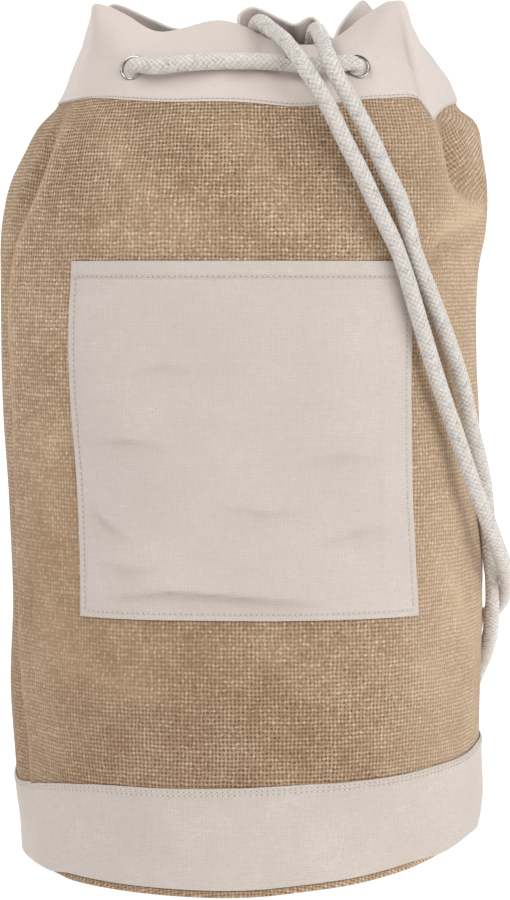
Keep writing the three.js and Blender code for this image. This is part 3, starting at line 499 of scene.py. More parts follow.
class Nodes:
    def __init__(self, name):
        self.mat = bpy.data.materials.new(name)
        self.mat.use_nodes = True
        self.nt = self.mat.node_tree
        self.nt.nodes.clear()
        self.out = self.nt.nodes.new("ShaderNodeOutputMaterial")
        self.bsdf = self.nt.nodes.new("ShaderNodeBsdfPrincipled")
        self.nt.links.new(self.bsdf.outputs[0], self.out.inputs[0])

    def link(self, src, dst):
        self.nt.links.new(src, dst)

    def put(self, sock, v):
        if isinstance(v, (int, float)):
            sock.default_value = v
        elif isinstance(v, (tuple, list)):
            sock.default_value = v
        else:
            self.link(v, sock)

    def m(self, op, a, b=None, c=None, clamp=False):
        n = self.nt.nodes.new("ShaderNodeMath")
        n.operation = op
        n.use_clamp = clamp
        self.put(n.inputs[0], a)
        if b is not None:
            self.put(n.inputs[1], b)
        if c is not None:
            self.put(n.inputs[2], c)
        return n.outputs[0]

    def add(self, a, b): return self.m("ADD", a, b)
    def sub(self, a, b): return self.m("SUBTRACT", a, b)
    def mul(self, a, b): return self.m("MULTIPLY", a, b)
    def fr(self, a): return self.m("FRACT", a)
    def fl(self, a): return self.m("FLOOR", a)

    def rng(self, v, a, b, c=0.0, d=1.0, kind="SMOOTHSTEP"):
        n = self.nt.nodes.new("ShaderNodeMapRange")
        n.interpolation_type = kind
        n.clamp = True
        self.put(n.inputs["Value"], v)
        for key, x in (("From Min", a), ("From Max", b), ("To Min", c), ("To Max", d)):
            self.put(n.inputs[key], x)
        return n.outputs["Result"]

    def uv(self):
        n = self.nt.nodes.new("ShaderNodeUVMap")
        n.uv_map = "UVMap"
        s = self.nt.nodes.new("ShaderNodeSeparateXYZ")
        self.link(n.outputs[0], s.inputs[0])
        return s.outputs[0], s.outputs[1]

    def pos(self):
        n = self.nt.nodes.new("ShaderNodeTexCoord")
        return n.outputs["Object"]

    def vec(self, x, y, z=0.0):
        n = self.nt.nodes.new("ShaderNodeCombineXYZ")
        for s, v in zip(n.inputs, (x, y, z)):
            self.put(s, v)
        return n.outputs[0]

    def noise(self, vec, scale=1.0, detail=2.0, rough=0.5, dist=0.0, dims="3D", colour=False):
        n = self.nt.nodes.new("ShaderNodeTexNoise")
        n.noise_dimensions = dims
        if dims == "1D":
            self.put(n.inputs["W"], vec)
        else:
            self.link(vec, n.inputs["Vector"])
        n.inputs["Scale"].default_value = scale
        n.inputs["Detail"].default_value = detail
        n.inputs["Roughness"].default_value = rough
        n.inputs["Distortion"].default_value = dist
        return n.outputs["Color"] if colour else n.outputs["Fac"] if "Fac" in n.outputs else n.outputs[0]

    def white(self, vec, dims="2D"):
        n = self.nt.nodes.new("ShaderNodeTexWhiteNoise")
        n.noise_dimensions = dims
        if dims == "1D":
            self.put(n.inputs["W"], vec)
        else:
            self.link(vec, n.inputs["Vector"])
        return n.outputs["Value"]

    def voronoi(self, vec, scale=1.0, feature="F1", rnd=1.0, out="Distance"):
        n = self.nt.nodes.new("ShaderNodeTexVoronoi")
        n.feature = feature
        self.link(vec, n.inputs["Vector"])
        n.inputs["Scale"].default_value = scale
        n.inputs["Randomness"].default_value = rnd
        return n.outputs[out]

    def mix(self, f, a, b, mode="MIX"):
        n = self.nt.nodes.new("ShaderNodeMix")
        n.data_type = "RGBA"
        n.blend_type = mode
        n.clamp_factor = True
        self.put(n.inputs[0], f)
        self.put(n.inputs[6], a)
        self.put(n.inputs[7], b)
        return n.outputs[2]

    def bump(self, height, dist, strength=1.0, normal=None):
        n = self.nt.nodes.new("ShaderNodeBump")
        n.inputs["Strength"].default_value = strength
        n.inputs["Distance"].default_value = dist
        self.put(n.inputs["Height"], height)
        if normal is not None:
            self.link(normal, n.inputs["Normal"])
        return n.outputs[0]

    def finish(self, colour, rough, normal=None, **sockets):
        self.put(self.bsdf.inputs["Base Color"], colour)
        self.put(self.bsdf.inputs["Roughness"], rough)
        if normal is not None:
            self.link(normal, self.bsdf.inputs["Normal"])
        for k, v in sockets.items():
            self.bsdf.inputs[k.replace("_", " ")].default_value = v
        return self.mat


def lin(hexcode, k=1.0):
    v = [int(hexcode[i:i + 2], 16) / 255 for i in (0, 2, 4)]
    v = [x / 12.92 if x <= 0.04045 else ((x + 0.055) / 1.055) ** 2.4 for x in v]
    return (v[0] * k, v[1] * k, v[2] * k, 1.0)


# ------------------------------------------------------------------ jute


def attr(s, key):
    n = s.nt.nodes.new("ShaderNodeAttribute")
    n.attribute_name = key
    return n.outputs["Fac"]


def jute_material(name, pitch_u=2.2, pitch_v=2.38, fields=True):
    """Open plain weave: uneven round threads over and under, gaps painted dark as the shaded inside seen through them,
    light loose fibres.
    """
    s = Nodes(name)
    u, v = s.uv()
    um, vm = s.mul(u, 1000.0), s.mul(v, 1000.0)
    p = s.vec(um, vm)
    if fields:
        opened, fuzz, ridge, dip = attr(s, "open"), attr(s, "fuzz"), attr(s, "ridge"), attr(s, "dip")
    else:
        # without the fields the base takes fixed values, with a little painted dip shade all over
        opened, fuzz, ridge, dip = 0.45, 0.1, 0.0, 0.2
    # threads wander a little, and drift together over wider stretches
    w1 = s.sub(s.noise(p, 0.045, 2.0, 0.55), 0.5)
    w2 = s.sub(s.noise(s.vec(s.add(um, 310.0), s.add(vm, 77.0)), 0.05, 2.0, 0.55), 0.5)
    a0 = s.add(s.mul(um, 1.0 / pitch_u), s.mul(w1, 0.9))
    b0 = s.add(s.mul(vm, 1.0 / pitch_v), s.mul(w2, 0.8))
    j1 = s.sub(s.noise(s.vec(s.fl(s.add(a0, 0.5)), s.mul(b0, 0.45)), 1.0, 1.0, 0.5), 0.5)
    j2 = s.sub(s.noise(s.vec(s.mul(a0, 0.45), s.add(s.fl(s.add(b0, 0.5)), 40.0)), 1.0, 1.0, 0.5), 0.5)
    a = s.add(a0, s.mul(j1, 0.75))
    b = s.add(b0, s.mul(j2, 0.75))
    ia, ib = s.fl(s.add(a, 0.5)), s.fl(s.add(b, 0.5))
    fa, fb = s.sub(a, ia), s.sub(b, ib)
    # each thread's own thickness, which changes along it; thinner where the weave is open
    ta = s.noise(s.vec(s.mul(ia, 7.31), s.mul(b, 0.33)), 1.0, 2.0, 0.65)
    tb = s.noise(s.vec(s.mul(a, 0.33), s.add(s.mul(ib, 5.17), 90.0)), 1.0, 2.0, 0.65)
    patch = s.noise(p, 0.03, 3.0, 0.6)
    loose = s.m("ADD", s.mul(opened, 0.115), s.mul(s.sub(patch, 0.5), 0.12))
    loose = s.sub(loose, s.mul(s.add(fuzz, ridge), 0.05))
    ha = s.sub(s.rng(ta, 0.22, 0.78, 0.29, 0.48, "LINEAR"), loose)
    hb = s.sub(s.rng(tb, 0.22, 0.78, 0.31, 0.50, "LINEAR"), loose)

    def round_(f, half):
        q = s.m("DIVIDE", f, half)
        return s.m("SQRT", s.m("MAXIMUM", s.sub(1.0, s.mul(q, q)), 0.0))

    ra, rb = round_(fa, ha), round_(fb, hb)
    inside_a = s.m("LESS_THAN", s.m("ABSOLUTE", fa), ha)
    inside_b = s.m("LESS_THAN", s.m("ABSOLUTE", fb), hb)
    par = s.sub(1.0, s.mul(2.0, s.m("MODULO", s.m("ABSOLUTE", s.add(ia, ib)), 2.0)))
    ca = s.m("COSINE", s.mul(fb, math.pi))
    cb = s.m("COSINE", s.mul(fa, math.pi))
    za = s.add(s.mul(ra, 0.5), s.mul(s.mul(par, ca), 0.5))
    zb = s.add(s.mul(rb, 0.5), s.mul(s.mul(s.mul(par, -1.0), cb), 0.5))
    za = s.add(s.mul(za, inside_a), s.mul(s.sub(1.0, inside_a), -1.3))
    zb = s.add(s.mul(zb, inside_b), s.mul(s.sub(1.0, inside_b), -1.3))
    top = s.m("MAXIMUM", za, zb)
    warp_up = s.m("GREATER_THAN", za, zb)
    gap = s.rng(top, -1.05, -0.3, 1.0, 0.0)
    # some gaps are all but closed by fibres
    gap = s.mul(gap, s.rng(s.white(s.vec(s.add(s.fl(a), 0.5), s.add(s.fl(b), 0.5))), 0.05, 0.5, 0.45, 1.0))
    # fibres along each thread
    fib_a = s.noise(s.vec(s.mul(um, 7.0), s.mul(vm, 0.9)), 1.0, 3.0, 0.7)
    fib_b = s.noise(s.vec(s.mul(um, 0.9), s.add(s.mul(vm, 7.0), 50.0)), 1.0, 3.0, 0.7)
    fib = s.add(s.mul(fib_a, warp_up), s.mul(fib_b, s.sub(1.0, warp_up)))
    tone_a = s.noise(s.vec(s.mul(ia, 3.7), s.mul(b, 0.16)), 1.0, 2.0, 0.6)
    tone_b = s.noise(s.vec(s.mul(a, 0.16), s.add(s.mul(ib, 4.3), 20.0)), 1.0, 2.0, 0.6)
    tone = s.add(s.mul(tone_a, warp_up), s.mul(tone_b, s.sub(1.0, warp_up)))
    broad = s.noise(p, 0.02, 3.0, 0.6)
    t = s.add(s.add(s.mul(s.sub(tone, 0.5), 1.1), s.mul(s.sub(fib, 0.5), 1.3)), s.mul(s.sub(broad, 0.5), 0.9))
    t = s.add(t, 0.5)
    low = lin("98775A")
    mid = lin("B89879")
    high = lin("E0C8AB")
    col = s.mix(s.rng(t, 0.1, 0.5, kind="LINEAR"), low, mid)
    col = s.mix(s.rng(t, 0.5, 1.05, kind="LINEAR"), col, high)
    # painted highlight on the crown of each thread, and painted shade where it dives under
    dive = s.rng(top, -0.35, 0.7, 0.0, 1.0)
    crown_highlight = s.mul(s.rng(top, 0.62, 0.98), s.rng(tone, 0.3, 0.7, 0.25, 1.0))
    crown_highlight = s.mul(crown_highlight, s.rng(s.white(s.vec(s.mul(ia, 1.7), s.mul(ib, 2.3))), 0.1, 0.9, 0.25, 1.0))
    col = s.mix(s.mul(crown_highlight, 0.72), col, lin("F6E6CE"))
    col = s.mix(s.mul(s.sub(1.0, dive), 0.6), col, lin("7A5B42"))
    # painted shade: the gaps take the dark colour of the shaded inside of the bag seen through the weave, less where
    # fibres shut them
    gap_shade = s.mix(s.noise(p, 0.35, 2.0, 0.5), lin("493322"), lin("7A5C44"))
    shut = s.m("MINIMUM", s.add(s.mul(fuzz, 0.62), s.mul(ridge, 0.6)), 0.8)
    col = s.mix(s.mul(gap, s.sub(0.97, shut)), col, gap_shade)
    # loose fibres lie over the gaps
    hair = s.noise(s.vec(s.mul(um, 1.1), s.mul(vm, 3.2)), 1.0, 4.0, 0.75, 1.2)
    hair2 = s.noise(s.vec(s.add(s.mul(um, 3.0), 17.0), s.mul(vm, 1.0)), 1.0, 4.0, 0.75, 1.2)
    strand = s.m("MAXIMUM", s.rng(s.m("ABSOLUTE", s.sub(hair, 0.5)), 0.0, 0.02, 1.0, 0.0), s.rng(s.m("ABSOLUTE", s.sub(hair2, 0.5)), 0.0, 0.02, 1.0, 0.0))
    col = s.mix(s.mul(strand, s.add(0.22, s.mul(s.add(fuzz, ridge), 0.3))), col, lin("DCC5A6"))
    col = s.mix(s.mul(fuzz, 0.4), col, lin("B4946F"))
    # paler, denser weave along the fold crests, partly painted highlight on the crests
    col = s.mix(s.mul(ridge, 0.4), col, lin("CDB292"))
    # painted shade in the dips beside the folds
    col = s.mix(s.mul(dip, 0.24), col, lin("735338"))
    # painted shade: the lower part a little darker, more so low on the left
    col = s.mix(s.rng(vm, -200.0, 40.0, 0.16, 0.0), col, lin("7A5B42"))
    col = s.mix(s.mul(s.rng(vm, -60.0, 90.0, 0.16, 0.0), s.rng(um, -60.0, 110.0, 1.0, 0.0)), col, lin("7A5B42"))
    speck = s.rng(s.noise(p, 0.9, 2.0, 0.5), 0.72, 0.77, kind="LINEAR")
    col = s.mix(s.mul(speck, 0.55), col, lin("62462D"))
    # painted light: the cloth's right side is paler, as where the light falls from the right
    col = s.mix(s.mul(s.rng(um, 60.0, 130.0, 0.0, 0.3), s.rng(um, 190.0, 330.0, 1.0, 0.0)), col, lin("E6CDAE"))
    # a few thick places in the threads
    slub = s.rng(s.voronoi(s.vec(s.mul(um, 0.014), s.mul(vm, 0.014)), 1.0), 0.0, 0.032, 1.0, 0.0)
    col = s.mix(s.mul(slub, 0.4), col, lin("A9855F"))
    soft = s.sub(1.0, s.mul(s.m("MINIMUM", s.add(fuzz, ridge), 1.0), 0.6))
    height = s.add(s.mul(s.m("MAXIMUM", top, -0.9), soft), s.mul(s.sub(fib, 0.5), 0.4))
    height = s.add(height, s.mul(slub, 1.3))
    bump = s.bump(height, 0.0006, 0.9)
    return s.finish(col, 0.92, bump, Sheen_Weight=0.08, Sheen_Roughness=0.6, Specular_IOR_Level=0.12)


# ------------------------------------------------------------------ cotton canvas


def canvas_material(name, pitch=1.02, tint="DAD0C8", shade="CFC4BB", rib=1.0, dips=False):
    """Close plain canvas with faint threads, small dark seed flecks and paler slubs."""
    s = Nodes(name)
    u, v = s.uv()
    um, vm = s.mul(u, 1000.0), s.mul(v, 1000.0)
    p = s.vec(um, vm)
    w1 = s.sub(s.noise(p, 0.09, 2.0, 0.5), 0.5)
    w2 = s.sub(s.noise(s.vec(s.add(um, 91.0), s.add(vm, 31.0)), 0.09, 2.0, 0.5), 0.5)
    a = s.add(s.mul(um, 1.0 / pitch), s.mul(w1, 1.0))
    b = s.add(s.mul(vm, 1.0 / pitch), s.mul(w2, 1.0))
    ia, ib = s.fl(s.add(a, 0.5)), s.fl(s.add(b, 0.5))
    fa, fb = s.sub(a, ia), s.sub(b, ib)
    par = s.sub(1.0, s.mul(2.0, s.m("MODULO", s.m("ABSOLUTE", s.add(ia, ib)), 2.0)))
    ra = s.m("COSINE", s.mul(fa, math.pi))
    rb = s.m("COSINE", s.mul(fb, math.pi))
    za = s.add(s.mul(ra, 0.6), s.mul(s.mul(par, rb), 0.4))
    zb = s.add(s.mul(rb, 0.6), s.mul(s.mul(s.mul(par, -1.0), ra), 0.4))
    top = s.m("MAXIMUM", za, zb)
    row_a = s.noise(s.vec(s.mul(ia, 3.1), s.mul(b, 0.12)), 1.0, 2.0, 0.6)
    row_b = s.noise(s.vec(s.mul(a, 0.12), s.add(s.mul(ib, 2.7), 60.0)), 1.0, 2.0, 0.6)
    rows = s.add(s.sub(row_a, 0.5), s.sub(row_b, 0.5))
    broad = s.sub(s.noise(p, 0.02, 3.0, 0.55), 0.5)
    grain = s.sub(s.noise(p, 0.9, 3.0, 0.65), 0.5)
    t = s.add(s.add(s.mul(rows, 0.6 * rib), s.mul(broad, 0.8)), s.mul(grain, 0.9))
    t = s.add(t, 0.5)
    col = s.mix(s.rng(t, 0.0, 1.0, kind="LINEAR"), lin(shade), lin(tint))
    col = s.mix(s.mul(s.rng(t, 0.55, 0.95, kind="LINEAR"), 0.3), col, lin("E8E0D9"))
    # painted shade in the hollows between the threads
    col = s.mix(s.mul(s.rng(top, -0.2, 0.7, 1.0, 0.0), 0.46 * rib), col, lin("8E8075"))
    if dips:
        # painted shade from the dip field, in the pocket's creases
        col = s.mix(s.mul(attr(s, "dip"), 0.3), col, lin("8C7F74"))
    # painted highlight on the threads' tops
    col = s.mix(s.mul(s.rng(top, 0.6, 1.0), 0.25), col, lin("EDE6DF"))
    # seed flecks, a few darker and longer
    d = s.voronoi(s.vec(s.mul(um, 0.3), s.mul(vm, 0.3)), 1.0)
    keep = s.rng(s.noise(s.vec(s.mul(um, 0.11), s.mul(vm, 0.11)), 1.0, 1.0, 0.5), 0.54, 0.6)
    fleck = s.mul(s.rng(d, 0.05, 0.13, 1.0, 0.0), keep)
    d2 = s.voronoi(s.vec(s.mul(um, 0.09), s.mul(vm, 0.045)), 1.0)
    fleck2 = s.rng(d2, 0.015, 0.04, 1.0, 0.0)
    col = s.mix(s.mul(fleck, 0.5), col, lin("8E7C69"))
    col = s.mix(s.mul(fleck2, 0.45), col, lin("A98F76"))
    height = s.add(top, s.mul(grain, 0.8))
    bump = s.bump(height, 0.0002, 0.3 + 0.5 * rib)
    return s.finish(col, 0.9, bump, Sheen_Weight=0.12, Sheen_Roughness=0.5, Specular_IOR_Level=0.12)


def thread_material(name, tint):
    s = Nodes(name)
    n = s.noise(s.pos(), 900.0, 3.0, 0.6)
    col = s.mix(n, lin("B8AB9D"), lin(tint))
    return s.finish(col, 0.85, s.bump(n, 0.0002, 0.5), Specular_IOR_Level=0.2)


# ------------------------------------------------------------------ rope

BRAID = 8  # strands each way round the cord
BRAID_LONG = 13.0  # mm along the cord for one strand to pass the others of the other hand


def rope_material(name):
    """Round braid of cotton strands, two over two, with grey threads among them."""
    s = Nodes(name)
    u, v = s.uv()
    uu = s.mul(u, float(BRAID))
    vv = s.mul(v, 1000.0 * BRAID / (BRAID_LONG * 2.0))
    p = s.add(uu, vv)
    q = s.sub(vv, uu)
    ip, iq = s.fl(p), s.fl(q)
    fp, fq = s.sub(p, ip), s.sub(q, iq)
    k = s.m("MODULO", s.add(s.sub(ip, iq), 4000.0), 4.0)
    p_up = s.m("LESS_THAN", k, 1.5)
    cross = s.add(s.mul(fp, s.sub(1.0, p_up)), s.mul(fq, p_up))
    # across the strand that shows
    side = s.add(s.mul(fp, p_up), s.mul(fq, s.sub(1.0, p_up)))
    edge = s.m("ABSOLUTE", s.sub(side, 0.5))
    yarn = s.m("ABSOLUTE", s.sub(s.fr(s.mul(side, 3.0)), 0.5))
    r = s.sub(1.0, s.m("POWER", s.mul(edge, 2.0), 2.6))
    along = s.sub(1.0, s.m("POWER", s.m("ABSOLUTE", s.sub(s.mul(cross, 2.0), 1.0)), 3.0))
    um, vm = s.mul(u, 31.4), s.mul(v, 1000.0)
    fib = s.noise(s.vec(s.mul(side, 14.0), s.mul(cross, 2.2), s.add(ip, s.mul(iq, 3.3))), 1.0, 3.0, 0.65)
    tone = s.white(s.vec(s.sub(ip, iq), s.add(ip, iq)))
    grain = s.noise(s.vec(um, vm), 1.6, 3.0, 0.6)
    grey = s.m("GREATER_THAN", s.white(s.vec(s.m("MODULO", s.add(s.mul(ip, p_up), s.mul(iq, s.sub(1.0, p_up))), 8.0), p_up)), 0.66)
    t = s.add(s.add(s.mul(fib, 0.6), s.mul(tone, 0.18)), s.mul(grain, 0.35))
    col = s.mix(s.rng(t, 0.3, 0.9, kind="LINEAR"), lin("D8D0C8"), lin("FBF6F1"))
    # painted shade in the crevices where the strands meet, patchy along the cord
    crevice_shade = s.rng(s.m("MINIMUM", r, along), 0.0, 0.36, 1.0, 0.0)
    crevice_shade_patchiness = s.rng(s.noise(s.vec(um, s.mul(vm, 0.4)), 0.35, 3.0, 0.6), 0.35, 0.62, 0.25, 1.0)
    col = s.mix(s.mul(s.mul(crevice_shade, crevice_shade_patchiness), 0.85), col, lin("857B71"))
    mark = s.mul(s.rng(s.noise(s.vec(s.mul(side, 7.0), s.mul(cross, 1.3), s.add(s.mul(ip, 2.1), iq)), 1.0, 2.0, 0.6), 0.55, 0.62), grey)
    col = s.mix(s.mul(mark, 0.75), col, lin("7B7C81"))
    fleck = s.rng(s.voronoi(s.vec(s.mul(um, 0.42), s.mul(vm, 0.42)), 1.0), 0.03, 0.12, 1.0, 0.0)
    col = s.mix(s.mul(fleck, 0.55), col, lin("6E6C6E"))
    height = s.add(s.add(s.mul(r, 0.5), s.mul(yarn, -0.25)), s.mul(fib, 0.45))
    bump = s.bump(height, 0.0006, 1.0)
    return s.finish(col, 0.88, bump, Sheen_Weight=0.25, Sheen_Roughness=0.5, Specular_IOR_Level=0.15)


def braid_height(u, v):
    """How far the braid stands out at a share u round the cord and v mm along it, 0 to 1."""
    uu = u * BRAID
    vv = v * BRAID / (BRAID_LONG * 2.0)
    p, q = uu + vv, vv - uu
    ip, iq = np.floor(p), np.floor(q)
    fp, fq = p - ip, q - iq
    k = np.mod(ip - iq, 4)
    up = k < 1.5
    side = np.where(up, fp, fq)
    # a strand is highest in the middle of the two others it crosses
    first = np.where(up, np.mod(k, 2) < 0.5, np.mod(k, 2) < 0.5)
    cross = np.where(up, fq, fp)
    run = np.where(first, cross * 0.5, 0.5 + cross * 0.5)
    h = (1 - np.abs(2 * side - 1) ** 2.4) * (0.72 + 0.28 * np.sin(np.pi * np.clip(run, 0, 1)))
    return h


# ------------------------------------------------------------------ the cord's route


def unit(v):
    v = np.asarray(v, float)
    return v / np.linalg.norm(v)


def one(at, up, off=0.0):
    return on(np.array(float(at)), np.array(float(up)), np.array(float(off)))


SEATS = {}
for name_, at_, up_ in EYELETS:
    on_cuff = up_ > 2
    mid_ = 0.0 if on_cuff else (0.9 - 0.6 - 1.5) / 2
    half_ = 1.2 if on_cuff else (0.9 + 0.6 + 1.5) / 2
    SEATS[name_] = dict(centre=one(at_, up_, mid_), axis=outward(np.array(float(at_)), np.array(float(up_))),
                        half=half_, face=half_ + 0.4, cuff=on_cuff, at=at_, up=up_)


def cord_route():
    route = []

    def put(*pts):
        for p in pts:
            route.append(np.asarray(p, float))

    def across(v, axis):
        v = np.asarray(v, float)
        return unit(v - np.dot(v, axis) * axis)

    def lean_of(s, o, deg):
        return unit(s["axis"] * math.cos(math.radians(deg)) + o * math.sin(math.radians(deg)))

    def through(s, out_to, in_to, deg=22, out_high=8.2, in_deep=9.6, out_far=16, in_far=15.5, to_inside=False):
        o = across(out_to, s["axis"])
        i = across(in_to, s["axis"])
        lean = lean_of(s, o, deg)
        c = s["centre"]
        pts = [c + i * in_far - s["axis"] * in_deep, c - lean * 7.0, c, c + lean * 7.2, c + o * out_far + s["axis"] * out_high]
        put(*(pts[::-1] if to_inside else pts))

    s = SEATS["eyelet_band_rear"]
    c = s["centre"]
    o = across(one(126, 1.0) - c, s["axis"])
    lean = lean_of(s, o, 17)
    end_a = (c - lean * 13, -lean)
    put(c - lean * 13, c - lean * 7, c, c + lean * 7.4, c + o * 17 + s["axis"] * 8.6)
    for row in ((125.5, 1.0, 7.6), (119, 1.065, 6.9), (112, 1.122, 6.7), (105, 1.166, 7.4), (98, 1.182, 9.4)):
        put(one(*row))
    put(*STRAND_OVER)
    put((8.5, -78.5, 504.6), (5.8, -69.0, 501.5), (5.5, -61.0, 492.5))
    s = SEATS["eyelet_back_left"]
    c = s["centre"]
    o = across(one(203, 2.5) - c, s["axis"])
    lean = lean_of(s, o, 22)
    put(c - s["axis"] * 11 + np.array([0, -5.5, 0.8]), c - lean * 6.5, c, c + lean * 8, c + o * 15 + s["axis"] * 13.5)
    for row in ((209, 2.47, 9), (216, 2.46, 8.4), (222, 2.45, 8.2), (228, 2.45, 8.6), (233, 2.45, 8.8)):
        put(one(*row))
    s = SEATS["eyelet_side_left"]
    through(s, one(233, 2.45) - s["centre"], np.array([-88, -30, 480.0]) - s["centre"], to_inside=True, out_far=15, in_deep=11)
    put((-91, 2, 481), (-91.5, -36, 480.3), (-84.5, -62, 480))
    s = SEATS["eyelet_front_left"]
    through(s, np.array([1, 0.1, -0.3]), np.array([-84.5, -62, 480.0]) - s["centre"], deg=28, in_deep=9.5, out_high=7.7)
    put(*FRONT_RUN)
    s = SEATS["eyelet_front_right"]
    through(s, np.array([-1, 0.1, -0.3]), np.array([96, -68, 480.0]) - s["centre"], deg=28, to_inside=True, in_deep=9.5, out_high=7.7, out_far=15)
    put((95.5, -66, 481), (103, -38, 481.5), (103, 2, 482))
    s = SEATS["eyelet_side_right"]
    through(s, one(128, 2.45) - s["centre"], np.array([103, -10, 482.0]) - s["centre"], out_far=15, in_deep=11)
    for row in ((128, 2.45, 9.4), (134, 2.45, 9), (139, 2.45, 8.6), (145, 2.45, 8.4), (150, 2.46, 8.6)):
        put(one(*row))
    s = SEATS["eyelet_back_right"]
    c = s["centre"]
    o = across(one(155, 2.5) - c, s["axis"])
    lean = lean_of(s, o, 22)
    put(c + o * 15 + s["axis"] * 13.5, c + lean * 8, c, c - lean * 6.5, c - s["axis"] * 11 + np.array([0.3, -5.5, 0.8]))
    put((39, -60, 484.5), (39.6, -67.8, 494.2), (40.6, -77, 499.4), (42.4, -91, 497.8))
    put(*STRAND_UNDER)
    s = SEATS["eyelet_band_fore"]
    c = s["centre"]
    o = across(one(112, 1.0) - c, s["axis"])
    lean = lean_of(s, o, 17)
    end_b = (c - lean * 13, -lean)
    put(c + o * 17 + s["axis"] * 8.8, c + lean * 7.4, c, c - lean * 7, c - lean * 13)
    return np.array(route), (end_a, end_b)


def through_points(pts, spacing=0.5):
    """A centripetal Catmull-Rom line through the points, then evenly spaced."""
    q = np.vstack([2 * pts[0] - pts[1], pts, 2 * pts[-1] - pts[-2]])
    out = []
    for i in range(1, len(q) - 2):
        p0, p1, p2, p3 = q[i - 1], q[i], q[i + 1], q[i + 2]
        t0 = 0.0
        t1 = t0 + np.linalg.norm(p1 - p0) ** 0.5
        t2 = t1 + np.linalg.norm(p2 - p1) ** 0.5
        t3 = t2 + np.linalg.norm(p3 - p2) ** 0.5
        m = max(3, int(np.ceil(np.linalg.norm(p2 - p1) / 0.5)))
        t = np.linspace(t1, t2, m, endpoint=False)[:, None]
        a1 = (t1 - t) / (t1 - t0) * p0 + (t - t0) / (t1 - t0) * p1
        a2 = (t2 - t) / (t2 - t1) * p1 + (t - t1) / (t2 - t1) * p2
        a3 = (t3 - t) / (t3 - t2) * p2 + (t - t2) / (t3 - t2) * p3
        b1 = (t2 - t) / (t2 - t0) * a1 + (t - t0) / (t2 - t0) * a2
        b2 = (t3 - t) / (t3 - t1) * a2 + (t - t1) / (t3 - t1) * a3
        out.append((t2 - t) / (t2 - t1) * b1 + (t - t1) / (t2 - t1) * b2)
    out = np.vstack(out + [q[-2][None]])
    d = np.concatenate([[0], np.cumsum(np.linalg.norm(np.diff(out, axis=0), axis=1))])
    n = int(round(d[-1] / spacing))
    s = np.linspace(0, d[-1], n + 1)
    return np.stack([np.interp(s, d, out[:, k]) for k in range(3)], 1), d[-1]


def frames(line):
    """Directions along a line and a pair of side directions that don't twist."""
    way = np.gradient(line, axis=0)
    way /= np.linalg.norm(way, axis=1, keepdims=True)
    side = np.empty_like(way)
    s = np.cross([0, 0, 1.0], way[0])
    side[0] = s / np.linalg.norm(s)
    for i in range(1, len(way)):
        s = side[i - 1] - np.dot(side[i - 1], way[i]) * way[i]
        side[i] = s / np.linalg.norm(s)
    return way, side, np.cross(way, side)


def make_cord():
    pts, ends = cord_route()
    line, length = through_points(pts, 0.9)
    way, a, b = frames(line)
    eyes = np.array([s["centre"] for s in SEATS.values()])
    near = np.linalg.norm(line[:, None, :] - eyes[None], axis=2).min(1)
    step = length / (len(line) - 1)
    skip = int(40 / step)
    apart = np.full(len(line), 1e9)
    for i in range(len(line)):
        d = np.linalg.norm(line - line[i], axis=1)
        d[max(0, i - skip):i + skip] = 1e9
        apart[i] = d.min()
    pinch = CORD_PINCHED + (CORD_RADIUS - CORD_PINCHED) * smooth((near - PINCH_REACH) / 7)
    press = CORD_PRESSED + (CORD_RADIUS - CORD_PRESSED) * smooth((apart - 9.6) / 3)
    r = np.minimum(pinch, press)
    sides = 34
    share = np.arange(sides) / sides
    s = np.arange(len(line)) * step
    h = braid_height(share[None, :] + 0 * s[:, None], s[:, None] + 0 * share[None, :])
    rr = r[:, None] - 0.75 + 0.75 * h
    ang = 2 * np.pi * share
    pts3 = line[:, None, :] + rr[..., None] * (np.cos(ang)[None, :, None] * a[:, None, :] + np.sin(ang)[None, :, None] * b[:, None, :])
    n, m = len(line), sides
    verts = pts3.reshape(-1, 3)
    faces = []
    i = np.arange(n - 1)
    k = np.arange(m)
    l = (k + 1) % m
    A = (i[:, None] * m + k).ravel()
    B = (i[:, None] * m + l).ravel()
    C = ((i[:, None] + 1) * m + l).ravel()
    D = ((i[:, None] + 1) * m + k).ravel()
    quads = np.stack([A, B, C, D], 1)
    us = np.stack([np.tile(k, n - 1), np.tile(k + 1, n - 1), np.tile(k + 1, n - 1), np.tile(k, n - 1)], 1) / m
    vs = np.stack([np.repeat(s[:-1], m), np.repeat(s[:-1], m), np.repeat(s[1:], m), np.repeat(s[1:], m)], 1) * MM
    verts = np.vstack([verts, line[0], line[-1]])
    caps = [[n * m, (kk + 1) % m, kk] for kk in range(m)]
    caps += [[n * m + 1, (n - 1) * m + kk, (n - 1) * m + (kk + 1) % m] for kk in range(m)]
    me = bpy.data.meshes.new("drawcord_braided")
    me.from_pydata((verts * MM).tolist(), [], quads.tolist() + caps)
    me.update()
    lay = me.uv_layers.new(name="UVMap")
    uv = np.concatenate([np.stack([us, vs], 2).reshape(-1, 2), np.zeros((len(caps) * 3, 2))])
    lay.data.foreach_set("uv", uv.ravel())
    me.polygons.foreach_set("use_smooth", [True] * len(me.polygons))
    ob = bpy.data.objects.new("drawcord_braided", me)
    bpy.context.scene.collection.objects.link(ob)
    return ob, line, length, ends


# ------------------------------------------------------------------ camera

camera_data = bpy.data.cameras.new("camera")
camera = bpy.data.objects.new("camera", camera_data)
bpy.context.scene.collection.objects.link(camera)
bpy.context.scene.camera = camera
camera.location = (5.6 * MM, -1600 * MM, 363 * MM)
camera.rotation_euler = (math.radians(90 - 4.1), 0, 0)
camera_data.lens = 103.2
camera_data.sensor_width = 36
camera_data.clip_start = 0.05
camera_data.clip_end = 60

# ------------------------------------------------------------------ cord

cord, cord_line, cord_length, cord_ends = make_cord()
cord.data.materials.append(rope_material("cord_braid"))

# ------------------------------------------------------------------ cloth


